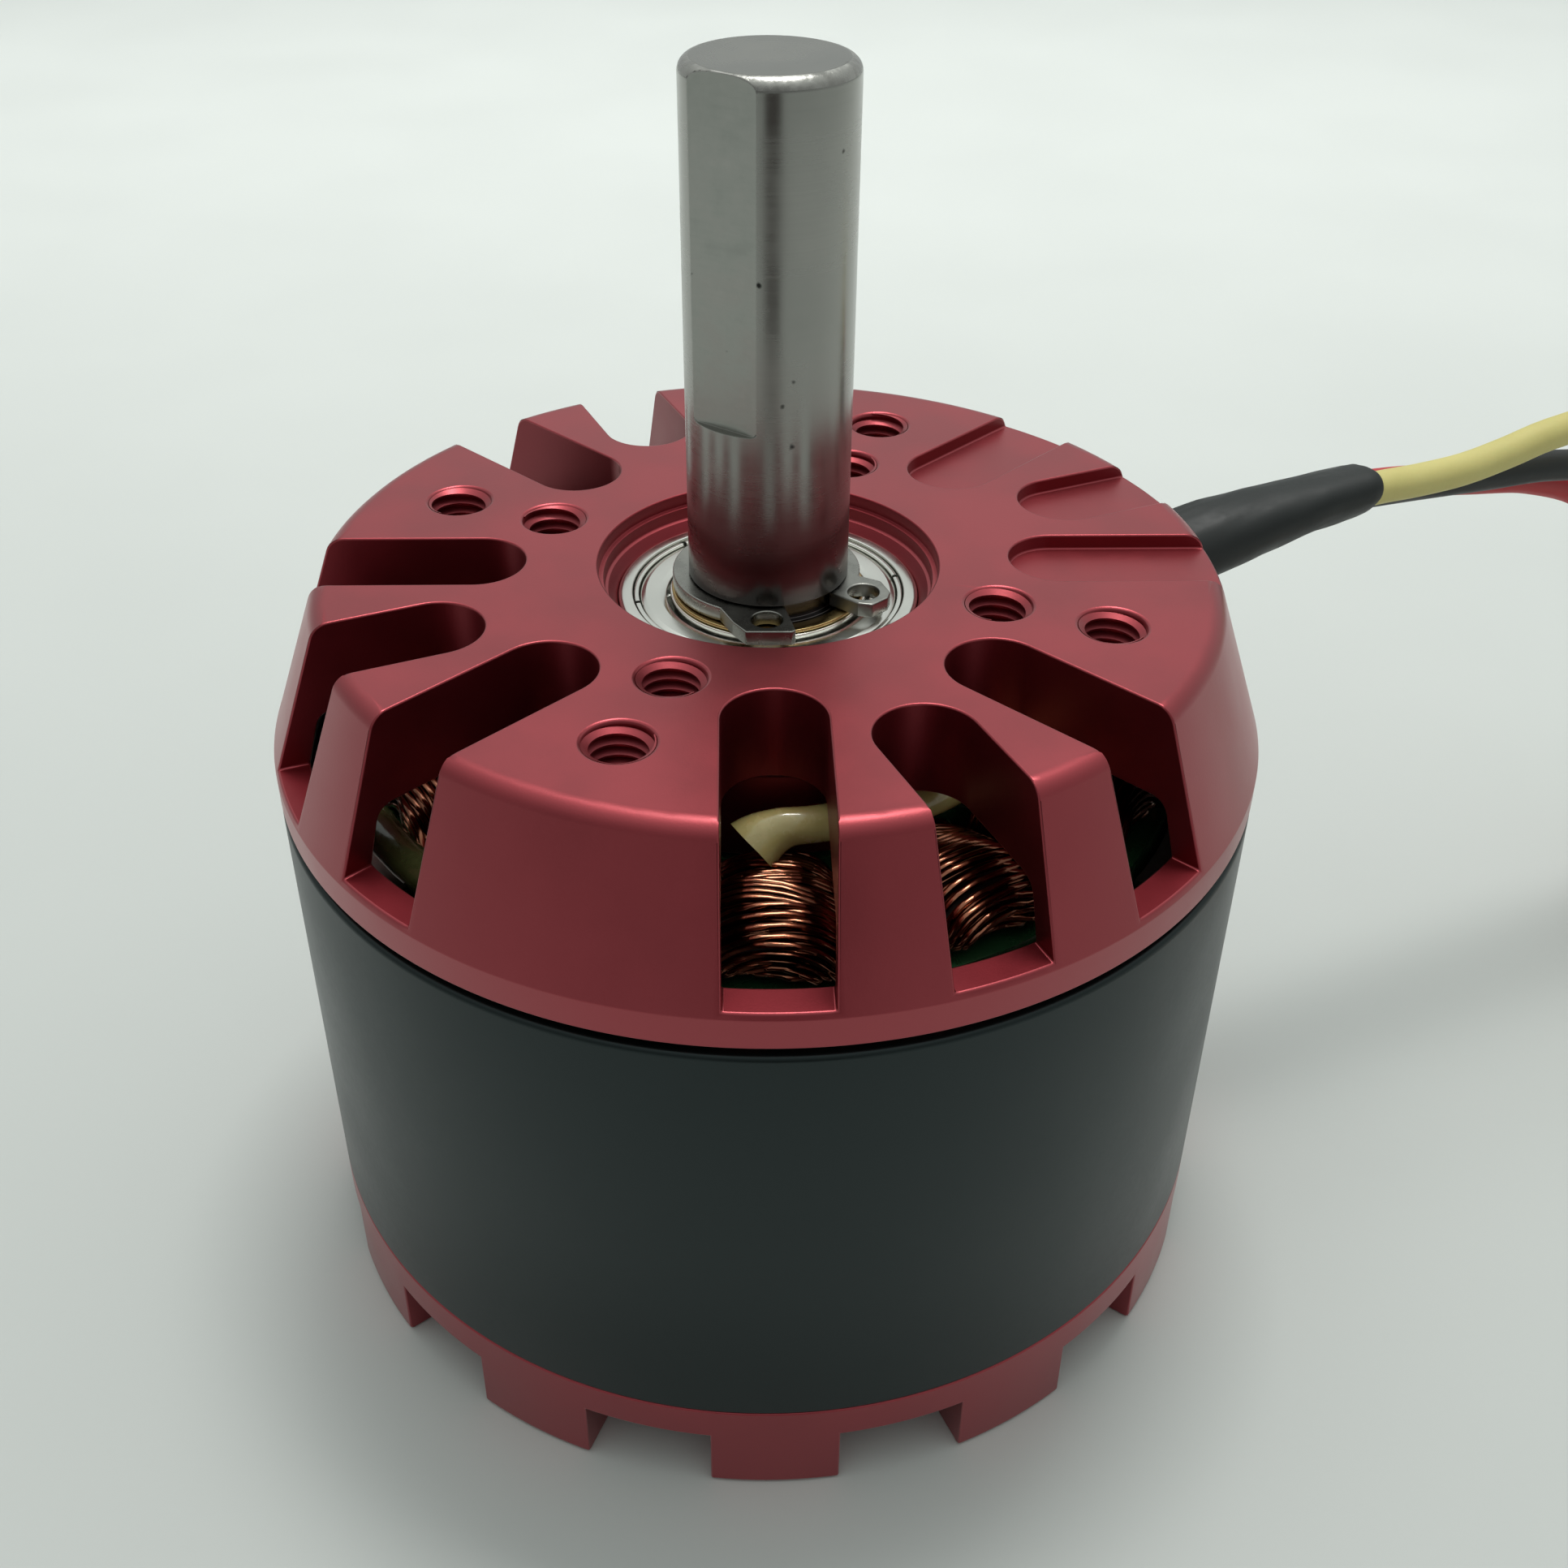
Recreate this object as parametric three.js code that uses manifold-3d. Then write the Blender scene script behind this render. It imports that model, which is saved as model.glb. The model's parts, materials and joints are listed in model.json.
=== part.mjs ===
// Brushless outrunner motor, 63 mm class, with a 10 mm shaft.
// Millimetres, +Z up along the shaft. The origin is on the shaft's axis, in the plane of the
// end bell's feet. The red mount cap with the threaded holes stands still, and the can, the
// end bell and the shaft turn inside and around it.
import * as THREE from 'three';
import { mergeVertices } from 'three/addons/utils/BufferGeometryUtils.js';
import Module from 'manifold-3d';

const wasm = await Module();
wasm.setup();

// ---- Driving dimensions ------------------------------------------------------------------
const CAN_R = 31.75;          // outside of can, cap rim and end bell
const CAN_BORE_R = 30;
const CAP_TOP = 50.2;         // flat mounting face
const CAP_EDGE = 1.3;         // rounding of the mounting face's outer edge
const PLATE = 6;              // thickness of the cap's top plate
const CONE_TOP_R = 28.16;
const CONE_FOOT = 40.35;      // height where the cone ends in the straight rim band
const RIM_BOTTOM = 38.35;     // lower edge of the cap's rim
const RIM_IN_R = 29.8;        // the cap's inner wall, from here up to the plate's corner
const PLATE_CORNER_R = 28.6;
const BOSS_R = 15;            // thick middle of the cap above the core
const RECESS_R = 10.7;        // round recess over the front bearing
const RECESS_FLOOR = 48.6;
const CAN_TOP = 37.7;
const CAN_BOTTOM = 7.15;
const BELL_TOP = 7.1;         // shoulder that the can stands on
const BELL_FLOOR = 4.6;       // underside of the bell's plate, top of the gaps between feet
const BELL_HUB_R = 9;
const BELL_HUB_Z = [0.9, 12.5];
const FEET = 12;
const FOOT_IN_R = 28.75;
const SPIGOT_R = [26.8, 29.8]; // ring that centres the can on the bell
const SPIGOT_TOP = 9.9;
const BELL_WINDOW_R = [15, 25.8];
const SET_SCREW_AZIMUTHS = [-75, 15];
const SET_SCREW_Z = 2.75;
const SHAFT_R = 5;
const SHAFT_TOP = 80.4;
const SHAFT_END = 1.2;
const FLAT_DEPTH = 0.52;
const FLAT_START = CAP_TOP + 10.4;
const FLAT_AZIMUTH = -125.7;
const GROOVE_R = 4.6;         // groove for the retaining ring
const GROOVE_Z = [CAP_TOP - 1.75, CAP_TOP - 0.6];
const TEETH = 12;
const POLES = 14;
const CORE_BOTTOM = 12.8;
const CORE_TOP = 37.9;
const CORE_BORE_R = 11.3;
const YOKE_R = 15.2;
const SHOE_IN_R = 25.2;
const CORE_R = 26.8;
const TOOTH_HALF = 2.5;
const SHOE_HALF_ANGLE = 13;
const COIL_R = [16.2, 24.9];  // a coil's inner and outer end
const COIL_HALF_WIDTHS = [4.15, 6.2];
const COIL_BOTTOMS = [10.7, 8.8];
const COIL_TOPS = [40.0, 42.1];
const MAGNET_IN_R = 27.2;
const MAGNET_OUT_R = 29.7;
const MAGNET_Z = [12.2, 37.2];
const MAGNET_HALF_ANGLE = 11.2;
const SLOT_WIDTH = 6;
const SLOT_STEP = 22.5;       // three slots between two pairs of threaded holes
const SLOT_INNER_R = [15.2, 18.5, 15.2];
const SLOT_FLOOR = 40.75;     // flat ledge where the cap's slots end in the rim
const BLIND_SLOT_DEPTH = 1;   // the slots above the cable are shallow pockets
const HOLE_RADII = [15, 22];  // two pitch circles, 30 mm and 44 mm across
const HOLE_AZIMUTH = -22.5;   // the first pair of threaded holes, the others every 90 degrees
const THREAD_R = 1.7;         // M4
const THREAD_MOUTH_R = 2.1;
const BEARING_R = 9.5;        // 10 x 19 x 5 ball bearing
const BEARING_BORE_R = 5.1;
const BEARING_H = 5;
const OUTER_RING_IN_R = 8.5;
const INNER_RING_OUT_R = 6.2;
const SHIELD_R = [6.45, 8.35];
const SHIELD_INSET = 0.2;
const SHIELD_THICK = 0.3;
const BALLS = 9;
const BALL_R = 0.95;
const BALL_CIRCLE_R = 7.3;
const FRONT_BEARING_Z = 43.2; // lower face
const REAR_BEARING_Z = 14.6;
const TUBE_R = 11;            // bearing tube that carries the stator core
const TUBE_END = 14.3;        // lower end of the bearing tube
const CABLE_AZIMUTH = 22.5;
const WINDOW_HALF = 3.6;      // cable window in the cone
const WINDOW_Z = [41, 47.2];
const WINDOW_CORNER = 1.5;
const LEAD_R = 1.2;
const SLEEVE_ARC_R = 17.2;    // the phase sleeves lie on the coils' inner ends
const SLEEVE_ARC_Z = 42.1;
const BOOT_R = 2.2;           // rubber boot at each lead's end
const BOOT_L = 12;
const BULLET_R = 1.95;
const BULLET_L = 10.5;
const END_GAP = 0.3;          // between a lead, its boot and its bullet
const ROUND = 48;             // facets of the cap, the can and the bell
const SMALL_ROUND = 24;       // facets of the shaft and the bearings
const OUTSIDE_R = 34;         // cutters end here, past every outside surface

const deg = THREE.MathUtils.degToRad;
const group = new THREE.Group();
group.name = 'outrunner_motor';

// ---- Materials ---------------------------------------------------------------------------
const finish = (color, roughness, metalness) => ({ color, roughness, metalness });
const FINISHES = {
  red_anodised: finish(0xa01c2c, 0.42, 0.75),
  black_can: finish(0x1c2120, 0.5, 0.3),
  ground_steel: finish(0x8f8c86, 0.3, 1),
  bearing_steel: finish(0xb9b9b4, 0.25, 1),
  brass: finish(0xb08d4c, 0.3, 1),
  copper_enamel: finish(0x8a3c1c, 0.3, 0.8),
  green_lacquer: finish(0x1d3a20, 0.45, 0),
  magnet_nickel: finish(0x9a9a98, 0.35, 1),
  cream_sleeving: finish(0xa99a55, 0.3, 0),
  black_shrink: finish(0x232827, 0.6, 0),
  yellow_silicone: finish(0xcfc06a, 0.55, 0),
  black_silicone: finish(0x1d2022, 0.55, 0),
  red_silicone: finish(0xb03038, 0.55, 0),
  gold_plate: finish(0xd2a84a, 0.25, 1),
};

function add(name, geometry, material) {
  const mesh = new THREE.Mesh(geometry, new THREE.MeshStandardMaterial(FINISHES[material]));
  mesh.name = name;
  group.add(mesh);
  return mesh;
}

// ---- Closed geometry ---------------------------------------------------------------------
// Merges shared points, drops triangles of no area and turns the faces outwards.
function closed(source) {
  const bare = source.clone();
  bare.deleteAttribute('normal');
  bare.deleteAttribute('uv');
  const merged = mergeVertices(bare, 1e-4);
  const p = merged.attributes.position;
  const old = merged.index.array;
  const corners = [0, 1, 2].map(() => new THREE.Vector3());
  const kept = [];
  let volume = 0;
  for (let i = 0; i < old.length; i += 3) {
    const [a, b, c] = [old[i], old[i + 1], old[i + 2]];
    if (a === b || b === c || c === a) continue;
    kept.push(a, b, c);
    [a, b, c].forEach((k, n) => corners[n].fromBufferAttribute(p, k));
    volume += corners[0].dot(corners[1].cross(corners[2]));
  }
  if (volume < 0) {
    for (let i = 0; i < kept.length; i += 3) [kept[i], kept[i + 1]] = [kept[i + 1], kept[i]];
  }
  merged.setIndex(kept);
  return merged;
}

function solid(geometry) {
  const g = closed(geometry);
  const vertProperties = new Float32Array(g.attributes.position.array);
  const triVerts = new Uint32Array(g.index.array);
  return new wasm.Manifold(new wasm.Mesh({ numProp: 3, vertProperties, triVerts }));
}

function geometryOf(manifold) {
  const mesh = manifold.getMesh();
  const g = new THREE.BufferGeometry();
  g.setAttribute('position', new THREE.BufferAttribute(new Float32Array(mesh.vertProperties), 3));
  g.setIndex(Array.from(mesh.triVerts));
  return g;
}

function cut(geometry, cutters) {
  return geometryOf(cutters.reduce((rest, c) => rest.subtract(solid(c)), solid(geometry)));
}

// A closed outline of [radius, z] points turned about the Z axis.
function turned(outline, facets) {
  const points = [...outline, outline[0]].map(([r, z]) => new THREE.Vector2(r, z));
  return closed(new THREE.LatheGeometry(points, facets).rotateX(Math.PI / 2));
}

function tubeWall(outR, inR, z0, z1, facets) {
  return turned([[inR, z0], [outR, z0], [outR, z1], [inR, z1]], facets);
}

function prism(shape, z0, z1, curveSegments = 8) {
  const g = new THREE.ExtrudeGeometry(shape, { depth: z1 - z0, bevelEnabled: false, curveSegments });
  return closed(g.translate(0, 0, z0));
}

function sector(outR, inR, halfAngle) {
  const shape = new THREE.Shape();
  shape.absarc(0, 0, outR, -halfAngle, halfAngle, false);
  shape.absarc(0, 0, inR, halfAngle, -halfAngle, true);
  shape.closePath();
  return shape;
}

// A slot along +X with a round inner end, open at its outer end.
function slotShape(innerR, outerR, width) {
  const half = width / 2;
  const shape = new THREE.Shape();
  shape.moveTo(outerR, -half);
  shape.lineTo(outerR, half);
  shape.lineTo(innerR + half, half);
  shape.absarc(innerR + half, 0, half, Math.PI / 2, 1.5 * Math.PI, false);
  shape.closePath();
  return shape;
}

// Joins rings of points, each ring the same length, into one closed skin.
function skin(rings, capped) {
  const n = rings[0].length;
  const positions = rings.flat().flatMap((v) => [v.x, v.y, v.z]);
  const index = [];
  const last = capped ? rings.length - 1 : rings.length;
  for (let i = 0; i < last; i += 1) {
    const a = i * n;
    const b = ((i + 1) % rings.length) * n;
    for (let k = 0; k < n; k += 1) {
      const next = (k + 1) % n;
      index.push(a + k, a + next, b + next, a + k, b + next, b + k);
    }
  }
  if (capped) {
    const end = (rings.length - 1) * n;
    for (let k = 1; k < n - 1; k += 1) {
      index.push(0, k + 1, k);
      index.push(end, end + k, end + k + 1);
    }
  }
  const g = new THREE.BufferGeometry();
  g.setAttribute('position', new THREE.BufferAttribute(new Float32Array(positions), 3));
  g.setIndex(index);
  return closed(g);
}

function circleShape(radius, sides) {
  const points = [];
  for (let i = 0; i < sides; i += 1) {
    const a = (2 * Math.PI * i) / sides;
    points.push(new THREE.Vector2(radius * Math.cos(a), radius * Math.sin(a)));
  }
  return new THREE.Shape(points);
}

function tube(points, radius, sides, steps) {
  const path = new THREE.CatmullRomCurve3(points, false, 'centripetal');
  return closed(new THREE.ExtrudeGeometry(circleShape(radius, sides), {
    extrudePath: path, steps, bevelEnabled: false,
  }));
}

// ---- Mount cap, the still side ----------------------------------------------------------
function capOutline() {
  const lean = Math.atan2(CAN_R - CONE_TOP_R, CAP_TOP - CONE_FOOT);
  const turn = Math.PI / 2 - lean;
  const centreR = CONE_TOP_R - CAP_EDGE * Math.tan(turn / 2);
  const rounding = [0, 1, 2].map((i) => {
    const a = (turn * i) / 2;
    return [centreR + CAP_EDGE * Math.sin(a), CAP_TOP - CAP_EDGE + CAP_EDGE * Math.cos(a)];
  });
  const seatR = BEARING_R + 0.12;
  const shoulderR = OUTER_RING_IN_R + 0.1;
  const [rearShoulder, frontShoulder] = [REAR_BEARING_Z + BEARING_H + 0.1, FRONT_BEARING_Z - 0.1];
  const underside = CAP_TOP - PLATE;
  const bossEnd = CORE_TOP + 0.3;
  return [
    [RECESS_R, CAP_TOP], ...rounding,
    [CAN_R, CONE_FOOT], [CAN_R, RIM_BOTTOM], [RIM_IN_R, RIM_BOTTOM],
    [RIM_IN_R - 0.2, SLOT_FLOOR], [PLATE_CORNER_R, underside], [BOSS_R, underside],
    [BOSS_R, bossEnd], [TUBE_R, bossEnd], [TUBE_R, TUBE_END], [seatR, TUBE_END],
    [seatR, rearShoulder], [shoulderR, rearShoulder],
    [shoulderR, frontShoulder], [seatR, frontShoulder],
    [seatR, RECESS_FLOOR - 0.7], [RECESS_R - 0.5, RECESS_FLOOR - 0.1], [RECESS_R, RECESS_FLOOR],
  ];
}

function slotCutters() {
  const cutters = [];
  for (let quarter = 0; quarter < 4; quarter += 1) {
    SLOT_INNER_R.forEach((innerR, i) => {
      const azimuth = HOLE_AZIMUTH + 90 * quarter + SLOT_STEP * (i + 1);
      const floor = quarter === 0 ? CAP_TOP - BLIND_SLOT_DEPTH : SLOT_FLOOR;
      const shape = slotShape(innerR, OUTSIDE_R, SLOT_WIDTH);
      cutters.push(prism(shape, floor, CAP_TOP + 2, 8).rotateZ(deg(azimuth)));
    });
  }
  return cutters;
}

function threadedHoleCutters() {
  const [below, above] = [CAP_TOP - PLATE - 1, CAP_TOP + 1];
  const profile = [
    [0, below], [THREAD_R, below], [THREAD_R, CAP_TOP - 0.35],
    [THREAD_MOUTH_R, CAP_TOP + 0.05], [THREAD_MOUTH_R, above], [0, above],
  ];
  const cutters = [];
  for (let quarter = 0; quarter < 4; quarter += 1) {
    for (const radius of HOLE_RADII) {
      const hole = turned(profile, 12).translate(radius, 0, 0);
      cutters.push(hole.rotateZ(deg(HOLE_AZIMUTH + 90 * quarter)));
    }
  }
  return cutters;
}

// The cable leaves through a window in the cone, and a channel in the plate's underside
// leads to it.
function cableWindowCutter() {
  const [half, r] = [WINDOW_HALF, WINDOW_CORNER];
  const [low, high] = WINDOW_Z;
  const channelStart = 17.6;
  const shape = new THREE.Shape();
  shape.absarc(half - r, high - r, r, 0, Math.PI / 2, false);
  shape.absarc(-half + r, high - r, r, Math.PI / 2, Math.PI, false);
  shape.absarc(-half + r, low + r, r, Math.PI, 1.5 * Math.PI, false);
  shape.absarc(half - r, low + r, r, 1.5 * Math.PI, 2 * Math.PI, false);
  shape.closePath();
  const upright = prism(shape, channelStart, OUTSIDE_R, 3).rotateX(Math.PI / 2).rotateZ(Math.PI / 2);
  return upright.rotateZ(deg(CABLE_AZIMUTH));
}

function mountCap() {
  const cutters = [...slotCutters(), ...threadedHoleCutters(), cableWindowCutter()];
  return cut(turned(capOutline(), ROUND), cutters);
}

// ---- Stator ------------------------------------------------------------------------------
function coreShape() {
  const shoeHalf = deg(SHOE_HALF_ANGLE);
  const shoeEdgeR = SHOE_IN_R + 0.7;
  const shape = new THREE.Shape();
  const at = (r, a) => [r * Math.cos(a), r * Math.sin(a)];
  for (let i = 0; i < TEETH; i += 1) {
    const mid = deg(-90 + (360 / TEETH) * i);
    const rootA = Math.asin(TOOTH_HALF / YOKE_R);
    const neckA = Math.asin(TOOTH_HALF / SHOE_IN_R);
    const outline = [
      [YOKE_R, -rootA], [SHOE_IN_R, -neckA], [shoeEdgeR, -shoeHalf], [CORE_R, -shoeHalf],
      [CORE_R, -shoeHalf / 2], [CORE_R, 0], [CORE_R, shoeHalf / 2],
      [CORE_R, shoeHalf], [shoeEdgeR, shoeHalf], [SHOE_IN_R, neckA], [YOKE_R, rootA],
    ];
    outline.forEach(([r, a], k) => {
      const [x, y] = at(r, mid + a);
      if (i === 0 && k === 0) shape.moveTo(x, y);
      else shape.lineTo(x, y);
    });
  }
  shape.closePath();
  const bore = new THREE.Path();
  bore.absarc(0, 0, CORE_BORE_R, 0, 2 * Math.PI, true);
  shape.holes.push(bore);
  return shape;
}

// A rectangle with cut corners in the plane x = r, its corners as points.
function roundedFrame(r, halfWidth, z0, z1, corner) {
  const [w, c] = [halfWidth, corner];
  const pairs = [
    [w - c, z0], [w - 0.3 * c, z0 + 0.3 * c], [w, z0 + c],
    [w, z1 - c], [w - 0.3 * c, z1 - 0.3 * c], [w - c, z1],
    [-w + c, z1], [-w + 0.3 * c, z1 - 0.3 * c], [-w, z1 - c],
    [-w, z0 + c], [-w + 0.3 * c, z0 + 0.3 * c], [-w + c, z0],
  ];
  return pairs.map(([y, z]) => new THREE.Vector3(r, y, z));
}

// One winding round a tooth on +X. It gets thicker towards the tooth's shoe.
function coil() {
  const [inR, outR] = COIL_R;
  const inner = [TOOTH_HALF + 0.2, CORE_BOTTOM - 0.3, CORE_TOP + 0.3];
  return skin([
    roundedFrame(inR, ...inner, 0.3),
    roundedFrame(inR, COIL_HALF_WIDTHS[0], COIL_BOTTOMS[0], COIL_TOPS[0], 1),
    roundedFrame(outR, COIL_HALF_WIDTHS[1], COIL_BOTTOMS[1], COIL_TOPS[1], 2.4),
    roundedFrame(outR, ...inner, 0.3),
  ], false);
}

function polar(r, azimuth, z) {
  return new THREE.Vector3(r * Math.cos(deg(azimuth)), r * Math.sin(deg(azimuth)), z);
}

// A point given along the cable's direction, to its side and up.
function cablePoint([out, side, up]) {
  return new THREE.Vector3(out, side, up).applyAxisAngle(
    new THREE.Vector3(0, 0, 1), deg(CABLE_AZIMUTH));
}

function arcPoints(r, from, to, z, step = 12) {
  const count = Math.ceil(Math.abs(to - from) / step);
  const points = [];
  for (let i = 0; i <= count; i += 1) points.push(polar(r, from + ((to - from) * i) / count, z));
  return points;
}

function addStator() {
  add('mount_cap', mountCap(), 'red_anodised');
  add('stator_core', prism(coreShape(), CORE_BOTTOM, CORE_TOP, 18), 'green_lacquer');
  const winding = coil();
  for (let i = 0; i < TEETH; i += 1) {
    const name = `coil_${String(i + 1).padStart(2, '0')}`;
    const mesh = add(name, winding, 'copper_enamel');
    mesh.rotation.z = deg(-90 + (360 / TEETH) * i);
  }
  const sleeves = [
    [...arcPoints(SLEEVE_ARC_R, -97, -3, SLEEVE_ARC_Z), polar(17.7, 6, 42.3), polar(19.5, 14, 42.7),
      ...[[22, -1.7, 43.3], [25, -1.45, 43.6], [28.2, -1.4, 43]].map(cablePoint)],
    [...arcPoints(SLEEVE_ARC_R, 150, 48, SLEEVE_ARC_Z), polar(17.7, 39, 42.3), polar(19.5, 31, 42.7),
      ...[[22, 1.7, 43.3], [25, 1.45, 43.6], [28.2, 1.4, 43]].map(cablePoint)],
    [[17, 0, SLEEVE_ARC_Z], [19, 0, 43.9], [21, 0, 45.6], [24, 0, 45.9], [28.2, 0, 45.7]].map(cablePoint),
  ];
  sleeves.forEach((points, i) => {
    add(`phase_sleeve_${i + 1}`, tube(points, LEAD_R, 8, 2 * points.length), 'cream_sleeving');
  });
  const starPoint = tube(arcPoints(27.2, -153, -129, 39.6, 6), LEAD_R, 8, 8);
  add('star_point_sleeve', starPoint, 'cream_sleeving');
}

// ---- Bearings ----------------------------------------------------------------------------
function ballCage(z) {
  const mid = z + BEARING_H / 2;
  const [ringIn, ringOut] = [BALL_CIRCLE_R - 0.25, BALL_CIRCLE_R + 0.25];
  let cage = solid(tubeWall(ringOut, ringIn, mid - 0.5, mid + 0.5, 2 * BALLS));
  for (let i = 0; i < BALLS; i += 1) {
    const ball = new THREE.SphereGeometry(BALL_R, 6, 4).rotateX(Math.PI / 2);
    ball.translate(BALL_CIRCLE_R, 0, mid).rotateZ((2 * Math.PI * i) / BALLS);
    cage = cage.add(solid(ball));
  }
  return geometryOf(cage);
}

function addBearing(name, z) {
  const top = z + BEARING_H;
  const outer = tubeWall(BEARING_R, OUTER_RING_IN_R, z, top, SMALL_ROUND);
  const inner = tubeWall(INNER_RING_OUT_R, BEARING_BORE_R, z, top, SMALL_ROUND);
  const lowerZ = z + SHIELD_INSET;
  const upperZ = top - SHIELD_INSET - SHIELD_THICK;
  const shield = (from) => tubeWall(SHIELD_R[1], SHIELD_R[0], from, from + SHIELD_THICK, SMALL_ROUND);
  add(`${name}_outer_ring`, outer, 'bearing_steel');
  add(`${name}_inner_ring`, inner, 'bearing_steel');
  add(`${name}_ball_cage`, ballCage(z), 'bearing_steel');
  add(`${name}_upper_shield`, shield(upperZ), 'bearing_steel');
  add(`${name}_lower_shield`, shield(lowerZ), 'bearing_steel');
}

// ---- Rotor -------------------------------------------------------------------------------
function shaft() {
  const [grooveBottom, grooveTop] = GROOVE_Z;
  const edge = 0.77;
  const outline = [
    [0, SHAFT_END], [SHAFT_R - 0.5, SHAFT_END], [SHAFT_R, SHAFT_END + 0.5],
    [SHAFT_R, grooveBottom], [GROOVE_R, grooveBottom], [GROOVE_R, grooveTop],
    [SHAFT_R, grooveTop], [SHAFT_R, SHAFT_TOP - edge],
    [SHAFT_R - 0.3 * edge, SHAFT_TOP - 0.3 * edge], [SHAFT_R - edge, SHAFT_TOP], [0, SHAFT_TOP],
  ];
  const [thick, wide, high] = [4, 12, 30];
  const flat = new THREE.BoxGeometry(thick, wide, high);
  flat.translate(SHAFT_R - FLAT_DEPTH + thick / 2, 0, FLAT_START + high / 2);
  return cut(turned(outline, SMALL_ROUND), [flat.rotateZ(deg(FLAT_AZIMUTH))]);
}

// An external circlip: a ring that narrows towards two lugs with plier holes.
function retainingRing() {
  const [boreR, backR, openR] = [4.75, 6.15, 5.75];
  const [firstLug, secondLug] = [-91.8, -27.1];
  const shape = new THREE.Shape();
  const go = (r, azimuth, start = false) => {
    const p = polar(r, azimuth, 0);
    if (start) shape.moveTo(p.x, p.y);
    else shape.lineTo(p.x, p.y);
  };
  const [lugEnd, otherEnd] = [firstLug + 13, secondLug - 12];
  go(boreR, lugEnd, true);
  go(7.75, firstLug + 13);
  go(7.9, firstLug + 11);
  go(7.9, firstLug - 9);
  go(7.0, firstLug - 17);
  const sweep = 360 - (secondLug + 18 - (firstLug - 30));
  for (let i = 0; i <= 12; i += 1) {
    const along = i / 12;
    const azimuth = firstLug - 30 - sweep * along;
    go(openR + (backR - openR) * Math.sin(Math.PI * along), azimuth);
  }
  go(7.2, secondLug + 14);
  go(8.1, secondLug + 5);
  go(8.2, secondLug);
  go(7.8, secondLug - 9);
  go(7.0, otherEnd);
  go(boreR, otherEnd);
  const bore = 360 - (otherEnd - lugEnd);
  for (let i = 1; i < 20; i += 1) go(boreR, otherEnd + (bore * i) / 20);
  shape.closePath();
  for (const [r, azimuth] of [[6.3, firstLug], [6.55, secondLug]]) {
    const p = polar(r, azimuth, 0);
    const hole = new THREE.Path();
    hole.absarc(p.x, p.y, 0.98, 0, 2 * Math.PI, false);
    shape.holes.push(hole);
  }
  return prism(shape, CAP_TOP - 1.65, CAP_TOP - 0.7, 8);
}

function endBell() {
  const bore = SHAFT_R + 0.15;
  const [hubEnd, hubTop] = BELL_HUB_Z;
  const [spigotIn, spigotOut] = SPIGOT_R;
  const outline = [
    [bore, hubEnd], [BELL_HUB_R, hubEnd], [BELL_HUB_R, BELL_FLOOR], [FOOT_IN_R, BELL_FLOOR],
    [FOOT_IN_R, 0], [CAN_R - 0.3, 0], [CAN_R, 0.3], [CAN_R, BELL_TOP], [spigotOut, BELL_TOP],
    [spigotOut, SPIGOT_TOP], [spigotIn, SPIGOT_TOP], [spigotIn, BELL_TOP],
    [BELL_HUB_R, BELL_TOP], [BELL_HUB_R, hubTop], [bore, hubTop],
  ];
  const cutters = [];
  const windowHalf = SLOT_WIDTH / 2;
  for (let i = 0; i < FEET; i += 1) {
    const gap = deg(-75 + (360 / FEET) * i);
    const betweenFeet = sector(OUTSIDE_R, FOOT_IN_R - 1.25, deg(90 / FEET));
    cutters.push(prism(betweenFeet, -1, BELL_FLOOR, 2).rotateZ(gap));
    const window = new THREE.Shape();
    window.absarc(BELL_WINDOW_R[0] + windowHalf, 0, windowHalf, Math.PI / 2, 1.5 * Math.PI, false);
    window.absarc(BELL_WINDOW_R[1] - windowHalf, 0, windowHalf, -Math.PI / 2, Math.PI / 2, false);
    window.closePath();
    cutters.push(prism(window, BELL_FLOOR - 1, BELL_TOP + 1, 4).rotateZ(gap));
  }
  for (const azimuth of SET_SCREW_AZIMUTHS) {
    const hole = new THREE.CylinderGeometry(1.65, 1.65, 7, 12).rotateZ(Math.PI / 2);
    cutters.push(hole.translate(7.5, 0, SET_SCREW_Z).rotateZ(deg(azimuth)));
  }
  return cut(turned(outline, ROUND), cutters);
}

// A grub screw along +X with a hexagon socket in its outer end.
function setScrew() {
  const body = new THREE.CylinderGeometry(1.5, 1.5, 3.2, 12).rotateZ(Math.PI / 2);
  const socket = new THREE.CylinderGeometry(0.85, 0.85, 2, 6).rotateZ(Math.PI / 2);
  return cut(body.translate(7, 0, SET_SCREW_Z), [socket.translate(8.6, 0, SET_SCREW_Z)]);
}

function canOutline() {
  const chamfer = 0.4;
  return [
    [CAN_BORE_R, CAN_BOTTOM], [CAN_R, CAN_BOTTOM], [CAN_R, CAN_TOP - chamfer],
    [CAN_R - chamfer, CAN_TOP], [CAN_BORE_R, CAN_TOP],
  ];
}

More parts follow.
